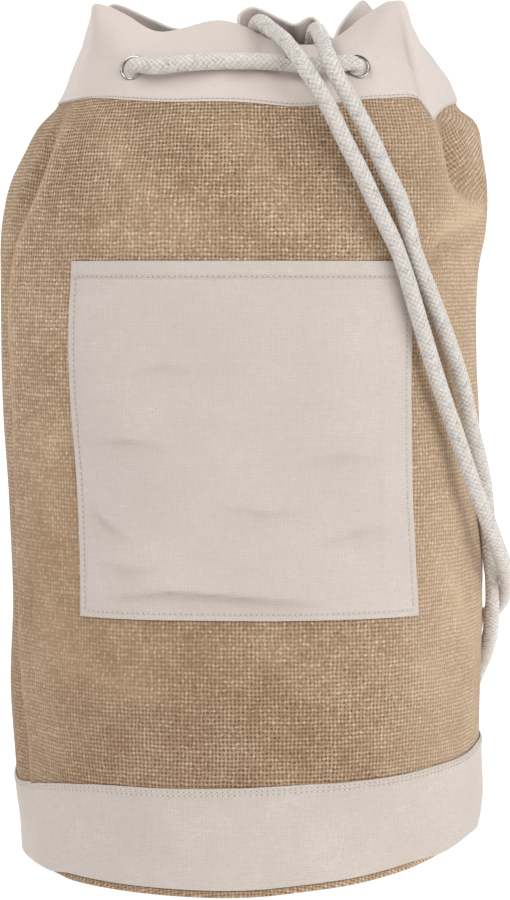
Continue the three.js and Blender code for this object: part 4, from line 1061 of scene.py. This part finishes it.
def arc_table(at, ups):
    """Arc length up each column from the rise z = 250, in mm, at the given up values."""
    fine = np.concatenate([np.linspace(0, 1, 16), np.linspace(1, 2, 60)[1:], np.linspace(2, 3, 24)[1:]])
    grid = skin(at[:, None], fine[None, :])
    d = np.linalg.norm(np.diff(grid, axis=1), axis=2)
    s = np.concatenate([np.zeros((len(at), 1)), np.cumsum(d, 1)], 1)
    out = np.empty((len(at), len(ups)))
    for i in range(len(at)):
        base = np.interp(up_at(at[i], 250.0), fine, s[i])
        out[i] = np.interp(ups, fine, s[i]) - base
    return out


def round_table(at, ups, thread_round):
    """Distance round the cloth from the middle of the front, in mm, with the same count of threads at every height."""
    grid = skin(at[:, None], ups[None, :] + 0 * at[:, None])
    step = np.linalg.norm(np.diff(np.concatenate([grid, grid[:1]], 0), axis=0), axis=2)
    d = np.vstack([np.zeros((1, len(ups))), np.cumsum(step, 0)])
    front = int(np.argmin(np.abs(at - 360.0)))
    left, right = d[front], d[-1] - d[front]
    return np.where(np.arange(len(d))[:, None] <= front, (d - left) / left, (d - left) / right) * thread_round / 2


def cloth_ring(name, at, rows, thread_round, fields=False, swell=None, drop=None):
    """rows: list of (up, off) as a closed section. Threads run with the angle."""
    ups = np.array([r[0] for r in rows])
    offs = np.array([r[1] for r in rows])
    AA, UU = at[:, None] + 0 * ups[None, :], ups[None, :] + 0 * at[:, None]
    extra = swell(AA, UU) if swell else 0.0
    loops = folded(AA, UU, offs[None, :] + extra + 0 * at[:, None])
    if drop:
        loops[..., 2] -= drop(AA, UU)
    v = arc_table(at, ups) * MM
    v = np.vstack([v, v[:1]])
    u = round_table(at, ups, thread_round) * MM
    attrs = None
    if fields:
        A = at[:, None] + 0 * ups[None, :]
        Z = rise_of(A, np.minimum(ups[None, :] + 0 * A, 2.0))
        # the ridge field pales the weave along fold crests, partly as painted highlight; the dip field is painted shade
        # beside the folds
        attrs = {"open": openness(A, Z), "fuzz": fuzziness(A, Z), "ridge": lines_of(A, Z, 2, 2.6, 0.85), "dip": lines_of(A, Z, 3, -7.0, 1.0)}
        ob = ring_mesh(name, loops, u, v, attrs=attrs)
        turn_side_panel(ob, loops, A, Z)
        return ob
    return ring_mesh(name, loops, u, v, attrs=attrs)


def turn_side_panel(ob, loops, A, Z):
    """Right of the neck's right fold the cloth has swung round, so its threads run aslant."""
    me = ob.data
    n, m = A.shape
    lv = np.empty(len(me.loops), dtype=np.int64)
    me.loops.foreach_get("vertex_index", lv)
    uv = np.empty(len(me.loops) * 2)
    me.uv_layers[0].data.foreach_get("uv", uv)
    uv = uv.reshape(-1, 2)
    a = wrap(A.reshape(-1)[lv]).reshape(-1, 4).mean(1)
    z = Z.reshape(-1)[lv].reshape(-1, 4).mean(1)
    first = np.interp(z, [395, 396, 398, 403, 412, 424, 437, 450, 464], [76, 68, 58, 52, 48.6, 47.4, 47.6, 49, 50])
    mask = np.repeat((z > 395) & (a > first) & (a < 112), 4)
    step = np.linalg.norm(np.diff(np.concatenate([loops, loops[:1]], 0), axis=0), axis=2)
    step = step * np.maximum(0.45, 1.3 * np.cos(np.radians(A)))
    run = np.vstack([np.zeros((1, m)), np.cumsum(step, 0)[:-1]])
    corner = int(np.argmin(np.abs(wrap(A[:, 0]) - 48.0)))
    x = (run - run[corner]).reshape(-1)[lv]
    y = loops[..., 2].reshape(-1)[lv]
    k = np.radians(33)
    new = np.stack([x * np.cos(k) + y * np.sin(k), y * np.cos(k) - x * np.sin(k)], 1) * MM
    uv = np.where(mask[:, None], new, uv)
    me.uv_layers[0].data.foreach_set("uv", uv.ravel())


def lines_of(a, z, col, full, narrow):
    """0 to 1 along the folds: col 2 for their ridges, col 3 for the dips beside them."""
    f = 0.0
    for c in CREASES:
        if col == 2:
            q = dict(c, line=[(r[0], r[1], min(1.0, r[2] / full), 0.0) for r in c["line"]], thin=c["thin"] * narrow)
        else:
            q = dict(c, line=[(r[0], r[1], 0.0, min(1.0, r[3] / full)) for r in c["line"]])
        f = f + crease(q, a, z)
    return np.clip(f, 0, 1)


def bump2(a, z, ca, cz, wa, wz):
    return np.exp(-((wrap(a - ca) / wa) ** 2) - (((z - cz) / wz) ** 2))


def openness(a, z):
    """Where the weave stands open, 0 to 1."""
    o = 0.42 + 0.10 * np.sin(np.radians(a) * 7 + z * 0.02)
    o = o + 0.5 * smooth((z - 375) / 50.0)
    o = o + 0.55 * smooth((150 - z) / 50.0) * smooth((wrap(a) + 52) / 20.0)
    o = o + 0.35 * bump2(a, z, 52, 250, 14, 150) + 0.25 * bump2(a, z, 12, 400, 16, 40)
    o = o + 0.3 * bump2(a, z, -36, 405, 18, 40)
    o = o - 0.5 * bump2(a, z, -45, 215, 16, 110) - 0.25 * bump2(a, z, -30, 140, 16, 28) - 0.2 * bump2(a, z, -20, 385, 14, 16)
    return np.clip(o, 0, 1.15)


def fuzziness(a, z):
    """Dense, hairy places low on the left."""
    return np.clip(0.62 * bump2(a, z, -46, 190, 15, 95) + 0.3 * bump2(a, z, -20, 142, 30, 22) + 0.3 * bump2(a, z, -20, 384, 16, 20), 0, 1)


ANGLES = columns()
JUTE_ROUND = 2.2 * 408


def offset_jute(up):
    """The jute's outer face: at -0.6 over the body, nearly flush at the cuff's edge, and at -1.5 under the cuff."""
    return -0.6 + 0.5 * smooth((up - 1.93) / 0.05) - 1.4 * smooth((up - 2.0) / 0.016)


def make_jute():
    ups_out = np.concatenate([np.linspace(0, 1, 8), np.linspace(1, 2, 132)[1:], [2.004, 2.008, 2.012, 2.016, 2.05, 2.14]])
    ups_in = np.concatenate([np.linspace(2.14, 2, 3), np.linspace(2, 1, 44)[1:], np.linspace(1, 0, 6)[1:]])
    rows = [(u, float(offset_jute(u))) for u in ups_out] + [(u, float(offset_jute(u)) - JUTE_THICK) for u in ups_in]
    at = columns(0.95, 0.6)
    return cloth_ring("body_jute", at, rows, JUTE_ROUND, fields=True)


def cuff_waves(at, up):
    """Soft unevenness of the folded cuff, with small puckers along its stitching."""
    r = np.radians(at)
    h = 0.55 * np.sin(17 * r + 5.0 * up) * np.sin(3.1 * (up - 2)) + 0.4 * np.sin(29 * r - 9.0 * up + 1.0) * np.sin(3.1 * (up - 2))
    h = h - 1.2 * np.exp(-((wrap(at - 17) / 10) ** 2) - (((up - 2.45) / 0.2) ** 2))
    h = h * smooth((up - 2.02) / 0.1)
    h = h - 1.3 * np.exp(-((wrap(at - 17) / 9) ** 2) - (((up - 2.45) / 0.16) ** 2))
    return h + 0.12 * np.sin(83 * r + 0.7 * np.sin(11 * r)) * np.exp(-(((up - 2.06) / 0.04) ** 2))


def rim_drop(at, up):
    """The front rim gives a little under each strand that lies over it."""
    w = wrap(at)
    return (3.2 * np.exp(-(((w - 7.5) / 5.5) ** 2)) + 1.0 * np.exp(-(((w - 19) / 4) ** 2))) * smooth((up - 2.35) / 0.6)


def side_of(at):
    """0 across the front, 1 round the sides and the back."""
    w = wrap(at)
    return np.where(w > 0, smooth((w - 40) / 16.0), smooth((-w - 46) / 10.0))


def band_drop(at, up):
    return 3.4 * side_of(at) * smooth((0.3 - up) / 0.3)


def make_cuff():
    t = CANVAS_THICK
    g = 0.12
    def lay(u):
        return t * (0.18 + 0.82 * float(smooth((u - 2.0) / 0.07)))

    rows = [(u, g + lay(u)) for u in [2.0, 2.006, 2.013, 2.022, 2.034, 2.05, 2.07] + np.linspace(2.1, 2.98, 26).tolist()]
    for k in range(1, 8):
        a = math.pi * k / 8
        rows.append((2.98 + 0.02 * math.sin(a), (g + t) * math.cos(a)))
    rows += [(u, -g - lay(u)) for u in np.linspace(2.98, 2.06, 18).tolist() + [2.045, 2.03]]
    rows += [(u, -g) for u in (2.03, 2.5, 2.94)]
    rows += [(2.955, 0.0)]
    rows += [(u, g) for u in (2.94, 2.5, 2.0)]
    return cloth_ring("cuff_canvas", ANGLES, rows, 880.0, swell=cuff_waves, drop=rim_drop)


def make_band():
    rows = [(u, 0.9) for u in np.linspace(0, 0.985, 22)] + [(0.995, 0.75), (1.0, 0.45)]
    rows += [(1.0, 0.05), (0.995, -0.2)] + [(u, -0.3) for u in np.linspace(0.985, 0, 8)]
    return cloth_ring("band_canvas", columns(1.0, 1.0), rows, 905.0, drop=band_drop)


def make_base():
    at = columns(1.0, 1.0)
    f = foot(at)

    def inner(share, lift):
        p = plan(at, f + 2.4)
        under = f * smooth((share - FLAT_SHARE) / (1 - FLAT_SHARE))
        return np.stack([p[:, 0] * share, p[:, 1] * share, under + lift], -1)

    def edge(out, rise):
        out = out - (out + 1.5) * side_of(at) if out > -1.5 else out + 0 * at
        p = plan(at, f + 2.4, out)
        p[:, 2] = f + rise
        return p

    rows = [inner(s, 0) for s in (0.02, 0.2, 0.4, 0.62, 0.7, 0.78, 0.86, 0.93)]
    rows += [edge(-3.4, 0.0), edge(-0.6, 0.15), edge(0.5, 0.5), edge(1.0, 1.0), edge(1.2, 1.7), edge(1.25, 2.6), edge(1.15, 3.4), edge(0.7, 4.1), edge(0.0, 4.5),
             edge(-1.6, 4.5), edge(-2.6, 4.2), edge(-3.0, 3.1), edge(-3.4, 1.6)]
    rows += [inner(s, 1.6) for s in (0.9, 0.78, 0.62, 0.4, 0.2, 0.02)]
    loops = np.stack(rows, 1)
    loops[..., 2] = np.maximum(loops[..., 2], 0)
    # the disc's threads run straight across it
    n, m = loops.shape[:2]
    ext = np.concatenate([loops, loops[:1]], 0)
    ob = ring_mesh("base_jute", loops, ext[..., 0] * MM, (ext[..., 1] + ext[..., 2]) * MM)
    return ob


def make_pocket():
    rises = [p[0] for p in POCKET]
    span = rises[-1] - rises[0]
    near = np.array([0.0, 0.8, 1.6, 2.4, 3.2, 4.0, 4.8, 5.6, 6.6])
    zs = rises[0] + np.concatenate([near, np.linspace(8.0, span - 11.0, 120), span - np.array([10.2, 9.5, 8.8, 8.1, 7.4, 5, 2.5, 1.0, 0.0])])
    left = hermite(rises, [p[1] for p in POCKET], zs)
    right = hermite(rises, [p[2] for p in POCKET], zs)
    f = np.concatenate([near, np.linspace(8.0, 191.0, 100), 199.0 - near[::-1]]) / 199.0
    at = left[:, None] + (right - left)[:, None] * f[None, :]
    z = zs[:, None] + 0 * at
    up = up_at(at, z)
    press = sum(crease(c, at, z) for c in PRESSED)
    # the sewn edges are drawn down to the jute, the middle stands a little free of it
    top = rises[-1] - z
    edge = np.minimum(np.minimum(f[None, :], 1 - f[None, :]) * 199.0, (z - rises[0]))
    loft = 0.5 * smooth((edge - 6) / 22.0)
    row = np.minimum(np.minimum(np.abs(edge - 3.3), np.abs(top - 8.8)) / 1.3, 1.0)
    pucker = 0.1 * np.sin((at * 2.6 + z) * 1.1) * np.exp(-((edge - 5.5) / 1.5) ** 2)
    hem = 0.3 * smooth((9.6 - top) / 1.0)
    front = folded(at, up, 1.25 + press + loft + hem + pucker - 0.35 * (1 - smooth(row)))
    back = folded(at, up, 0.15 + press + loft)
    R, C = at.shape
    pts = np.vstack([front.reshape(-1, 3), back.reshape(-1, 3)])
    faces, uv = [], []
    gx = (f[None, :] - 0.5) * 199.0 + 0 * z
    gy = z - rises[0]
    co = np.stack([gx.ravel(), gy.ravel()], 1)
    co = np.vstack([co, co]) * MM
    idx = np.arange(R * C).reshape(R, C)
    a, b, c, d = idx[:-1, :-1].ravel(), idx[:-1, 1:].ravel(), idx[1:, 1:].ravel(), idx[1:, :-1].ravel()
    faces += np.stack([a, b, c, d], 1).tolist()
    h = R * C
    faces += np.stack([a + h, d + h, c + h, b + h], 1).tolist()

    def rim_faces(line):
        for p, q in zip(line[:-1], line[1:]):
            faces.append([int(q), int(p), int(p + h), int(q + h)])

    rim_faces(idx[0, :])
    rim_faces(idx[:, -1])
    rim_faces(idx[-1, ::-1])
    rim_faces(idx[::-1, 0])
    faces = fix_outward(pts, faces)
    # painted shade: darker along the pressed creases, under the hem's fold and along the stitch rows, stored as the dip
    # field
    dark = 0.0
    for c in PRESSED:
        if c["step"] > 6:
            q = {k: v for k, v in c.items() if k != "step"}
            q["line"] = [(r[0], r[1], 0.0, r[2] / 2.6) for r in c["line"]]
            q.update(thin=3.0, side=-1.6, wide=2.6)
            dark = dark + crease(q, at, z)
            q.update(side=-6.0, wide=5.0)
            dark = dark + 0.35 * crease(q, at, z)
    dark = dark + 0.3 * np.exp(-(((top - 9.6) / 0.9) ** 2)) + 0.25 * (1 - smooth(row))
    dark = np.clip(dark, 0, 1).ravel()
    return make_mesh("pocket_canvas", pts, faces, co, attrs={"dip": np.concatenate([dark, dark])})


def stitches(name, rows, pitch=3.1, long=2.3, wide=0.36, high=0.26):
    """Short raised threads in a row with a small dark disc between each two, painted shade of the needle hole. rows:
    lists of (angle, up, offset).
    """
    bits, faces, kinds = [], [], []
    total = 0
    ring = np.arange(6) / 6 * 2 * np.pi
    shape = [(-1.0, 0.15), (-0.82, 0.75), (0.0, 1.0), (0.82, 0.75), (1.0, 0.15)]
    for row in rows:
        q = np.asarray(row, float)
        p = folded(q[:, 0], q[:, 1], q[:, 2])
        nrm = outward(q[:, 0], q[:, 1])
        d = np.concatenate([[0], np.cumsum(np.linalg.norm(np.diff(p, axis=0), axis=1))])
        marks = np.arange(pitch / 2, d[-1] - pitch / 2, pitch)
        for kind, shift in ((0, 0.0), (1, pitch / 2)):
            at_d = marks + shift
            c = np.stack([np.interp(at_d, d, p[:, k]) for k in range(3)], 1)
            ahead = np.stack([np.interp(at_d + 0.6, d, p[:, k]) for k in range(3)], 1)
            t = ahead - c
            t /= np.maximum(np.linalg.norm(t, axis=1, keepdims=True), 1e-9)
            nn = np.stack([np.interp(at_d, d, nrm[:, k]) for k in range(3)], 1)
            nn /= np.linalg.norm(nn, axis=1, keepdims=True)
            b = np.cross(t, nn)
            hl, hw, hh = (long / 2, wide, high) if kind == 0 else (0.42, 0.4, 0.06)
            for i in range(len(at_d)):
                pts = []
                for along, girth in shape:
                    for a in ring:
                        pts.append(c[i] + t[i] * along * hl + b[i] * math.cos(a) * girth * hw + nn[i] * (math.sin(a) * girth * hh + (0.12 if kind == 0 else 0.03)))
                bits.append(np.array(pts))
                for r in range(4):
                    for k in range(6):
                        l = (k + 1) % 6
                        faces.append([total + r * 6 + k, total + r * 6 + l, total + (r + 1) * 6 + l, total + (r + 1) * 6 + k])
                        kinds.append(kind)
                faces.append([total + k for k in range(5, -1, -1)])
                faces.append([total + 24 + k for k in range(6)])
                kinds += [kind, kind]
                total += 30
    ob = make_mesh(name, np.vstack(bits), faces, None, sharp=0)
    ob.data.materials.append(THREAD)
    ob.data.materials.append(HOLE_SHADE)
    ob.data.polygons.foreach_set("material_index", kinds)
    return ob


# painted shade: a small dark disc for the shadow inside each needle hole
def hole_shade_material(name):
    s = Nodes(name)
    n = s.noise(s.pos(), 1500.0, 2.0, 0.5)
    return s.finish(s.mix(n, lin("958B80"), lin("B9AFA4")), 0.95, Specular_IOR_Level=0.05)


THREAD = thread_material("sewing_thread", "EFEAE4")
HOLE_SHADE = hole_shade_material("needle_hole_shade")


def pocket_row(fs, zs, off):
    rises = [p[0] for p in POCKET]
    left = hermite(rises, [p[1] for p in POCKET], zs)
    right = hermite(rises, [p[2] for p in POCKET], zs)
    at = left + (right - left) * fs
    return np.stack([at, up_at(at, zs), off + 0 * at], 1)


def all_stitches():
    z0, z1 = POCKET[0][0], POCKET[-1][0]
    n = np.linspace(0, 1, 200)
    three = [pocket_row(0.0150 + 0 * n, z1 - 1.0 + (z0 + 3.6 - z1 + 1.0) * n, 1.0), pocket_row(0.0150 + (0.982 - 0.0150) * n, z0 + 3.6 + 0 * n, 1.0),
             pocket_row(0.982 + 0 * n, z0 + 3.6 + (z1 - 1.0 - z0 - 3.6) * n, 1.0)]
    q = pocket_row(0.012 + 0.976 * n, z1 - 8.8 + 0 * n, 1.7 + 0 * n)
    side = np.minimum(0.012 + 0.976 * n, 0.988 - 0.976 * n) * 199.0
    q[:, 2] = 1.25 + 0.5 * smooth((side - 6) / 22.0) + 0.3 - 0.35 + 0.06
    three.append(q)
    a = stitches("pocket_stitches", three)
    turn = np.linspace(0, 360, 720)
    cuff_rows = [np.stack([turn, 2.028 + 0 * turn, 0.62 + cuff_waves(turn, 2.028 + 0 * turn)], 1)]
    b = stitches("cuff_stitches", cuff_rows, pitch=3.0)
    c = stitches("band_stitches", [np.stack([turn, u + 0 * turn, 0.9 + 0 * turn], 1) for u in (0.968, 0.93)], pitch=3.2)
    return a, b, c


jute = make_jute()
jute.data.materials.append(jute_material("jute_weave"))
cuff_ob = make_cuff()
cuff_ob.data.materials.append(canvas_material("cuff_weave", tint="DFD3CC", shade="D4C8C1", rib=0.4))
band_ob = make_band()
band_ob.data.materials.append(canvas_material("band_weave", tint="D0C5BD", shade="BFB4AB"))
base_ob = make_base()
base_ob.data.materials.append(jute_material("base_weave", 2.2, 2.2, fields=False))
pocket_ob = make_pocket()
pocket_ob.data.materials.append(canvas_material("pocket_weave", tint="D6CBC4", shade="C8BDB6", dips=True))


# ------------------------------------------------------------------ eyelets


def metal_material(name):
    s = Nodes(name)
    n = s.noise(s.pos(), 260.0, 3.0, 0.6)
    scr = s.noise(s.pos(), 1400.0, 2.0, 0.5)
    # painted reflection: the nickel's colour runs in patches from dark to light grey, the dark patches standing for
    # dark surroundings reflected in it
    col = s.mix(s.rng(n, 0.3, 0.7), lin("76736F"), lin("C8C6C2"))
    rough = s.rng(n, 0.3, 0.7, 0.16, 0.3)
    return s.finish(col, rough, s.bump(scr, 0.00002, 0.3), Metallic=1.0)


METAL = metal_material("ring_nickel")


def make_eyelet(name, s):
    face = s["half"] + 0.25
    prof = []
    # rolled outer lip, inner barrel, flat washer lip
    for k in range(13):
        a = math.pi * (1.0 - k / 12)
        prof.append((7.02 + 0.92 * math.cos(a), face + 0.05 + 0.85 * math.sin(a)))
    prof += [(7.9, face - 0.02), (7.1, face - 0.02), (7.0, 0.0), (7.1, -face + 0.02), (7.9, -face + 0.02)]
    for k in range(9):
        a = math.pi * (k / 8)
        prof.append((7.02 + 0.92 * math.cos(a), -face - 0.05 - 0.7 * math.sin(a)))
    prof += [(EYELET_BORE + 0.08, 0.0)]
    prof = np.array(prof)
    ax = s["axis"]
    t = unit(np.cross(ax, [0.3, 0.1, 1.0]))
    b = np.cross(ax, t)
    n = 72
    ang = np.arange(n) / n * 2 * np.pi
    loops = s["centre"] + prof[None, :, 0, None] * (np.cos(ang)[:, None, None] * t + np.sin(ang)[:, None, None] * b) + prof[None, :, 1, None] * ax
    zeros = np.zeros((n + 1, len(prof)))
    ob = ring_mesh(name + "_ring", loops, zeros, zeros, sharp=50)
    ob.data.materials.append(METAL)
    return ob


rings = {name: make_eyelet(name, s) for name, s in SEATS.items()}


# ------------------------------------------------------------------ knots


def make_knot(name, end, way):
    """A stopper knot: an overhand turn of the same cord, drawn tight."""
    t = np.linspace(0, 2 * np.pi, 120, endpoint=False)
    r = 3.6
    x = (np.sin(t) + 2 * np.sin(2 * t)) * 1.55
    y = (np.cos(t) - 2 * np.cos(2 * t)) * 1.55
    z = -np.sin(3 * t) * 2.3
    axis = unit(way)
    s1 = unit(np.cross(axis, [0.2, 0.3, 1.0]))
    s2 = np.cross(axis, s1)
    c = end + axis * (9.5 + 0.35)
    line = c + x[:, None] * s1 + y[:, None] * s2 + z[:, None] * axis
    w = np.roll(line, -1, 0) - np.roll(line, 1, 0)
    w /= np.linalg.norm(w, axis=1, keepdims=True)
    rad = unit(np.cross(w[0], axis))
    sides = [rad]
    for i in range(1, len(line)):
        q = sides[-1] - np.dot(sides[-1], w[i]) * w[i]
        sides.append(q / np.linalg.norm(q))
    sides = np.array(sides)
    other = np.cross(w, sides)
    k = 16
    ang = np.arange(k) / k * 2 * np.pi
    loops = line[:, None, :] + r * (np.cos(ang)[None, :, None] * sides[:, None, :] + np.sin(ang)[None, :, None] * other[:, None, :])
    u = np.tile(ang / (2 * np.pi), (len(line) + 1, 1))
    v = np.tile((np.arange(len(line) + 1) * 0.9 * MM)[:, None], (1, k))
    ob = ring_mesh(name, loops, u, v, sharp=0)
    ob.data.materials.append(cord.data.materials[0])
    return ob


knot_rear = make_knot("knot_rear_tied", *cord_ends[0])
knot_fore = make_knot("knot_fore_tied", *cord_ends[1])

# ------------------------------------------------------------------ floor and light

W = 30.0


def floor_part(name, prof, colour, glow):
    verts = [(x, y, z) for (y, z) in prof for x in (-W / 2, W / 2)]
    faces = [[2 * i, 2 * i + 1, 2 * i + 3, 2 * i + 2] for i in range(len(prof) - 1)]
    me = bpy.data.meshes.new(name)
    me.from_pydata(verts, [], faces)
    me.polygons.foreach_set("use_smooth", [True] * len(me.polygons))
    ob = bpy.data.objects.new(name, me)
    bpy.context.scene.collection.objects.link(ob)
    fm = Nodes(name + "_paper")
    me.materials.append(fm.finish((colour, colour, colour, 1.0), 0.9, Specular_IOR_Level=0.0, Emission_Color=(1.0, 1.0, 1.0, 1.0), Emission_Strength=glow))
    return ob


floor = floor_part("floor", [(-0.34, 0.0), (3.0, 0.0)] + [(3.0 + 1.5 * math.sin(a), 1.5 - 1.5 * math.cos(a)) for a in np.linspace(0.15, math.pi / 2, 8)] + [(4.5, 9.0)], 0.30, 0.93)
floor_front = floor_part("floor_front", [(-8.0, 0.0), (-0.34, 0.0)], 0.85, 0.0)

world = bpy.data.worlds.new("world")
bpy.context.scene.world = world
world.use_nodes = True
bg = world.node_tree.nodes["Background"]
bg.inputs[0].default_value = (1.0, 0.99, 0.98, 1.0)
bg.inputs[1].default_value = 0.40


def area(name, loc, target, size, power, colour=(1, 1, 1)):
    d = bpy.data.lights.new(name, "AREA")
    d.shape = "RECTANGLE"
    d.size, d.size_y = size
    d.energy = power
    d.color = colour
    o = bpy.data.objects.new(name, d)
    bpy.context.scene.collection.objects.link(o)
    o.location = loc
    v = np.array(target, float) - np.array(loc, float)
    from mathutils import Vector
    o.rotation_euler = Vector(v).to_track_quat("-Z", "Y").to_euler()
    return o


area("key", (2.1, -1.7, 1.0), (0, 0, 0.22), (2.2, 2.0), 39)
area("fill", (-1.5, -2.0, 2.0), (0, 0, 0.35), (1.3, 1.3), 13)
area("top", (-0.9, -0.7, 2.2), (0, 0, 0.35), (1.2, 1.2), 14)
bpy.context.scene.view_settings.view_transform = "Standard"
bpy.context.scene.view_settings.look = "None"

# ------------------------------------------------------------------ what each piece stands for

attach(jute, "root"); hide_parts("body_cloth")
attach(cuff_ob, "root"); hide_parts("cuff")
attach(band_ob, "root"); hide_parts("lower_band")
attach(base_ob, "root"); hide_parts("base_disc")
for ob_, slot_ in zip(all_stitches(), ("pocket_cotton", "cuff_cotton", "cotton")):
    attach(ob_, "root")
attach(pocket_ob, "root"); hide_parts("pocket")
for name_, ob in rings.items():
    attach(ob, "root"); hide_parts(name_)
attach(cord, "root"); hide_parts("drawcord")
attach(knot_rear, "root"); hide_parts("cord_knot_rear")
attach(knot_fore, "root"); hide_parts("cord_knot_fore")
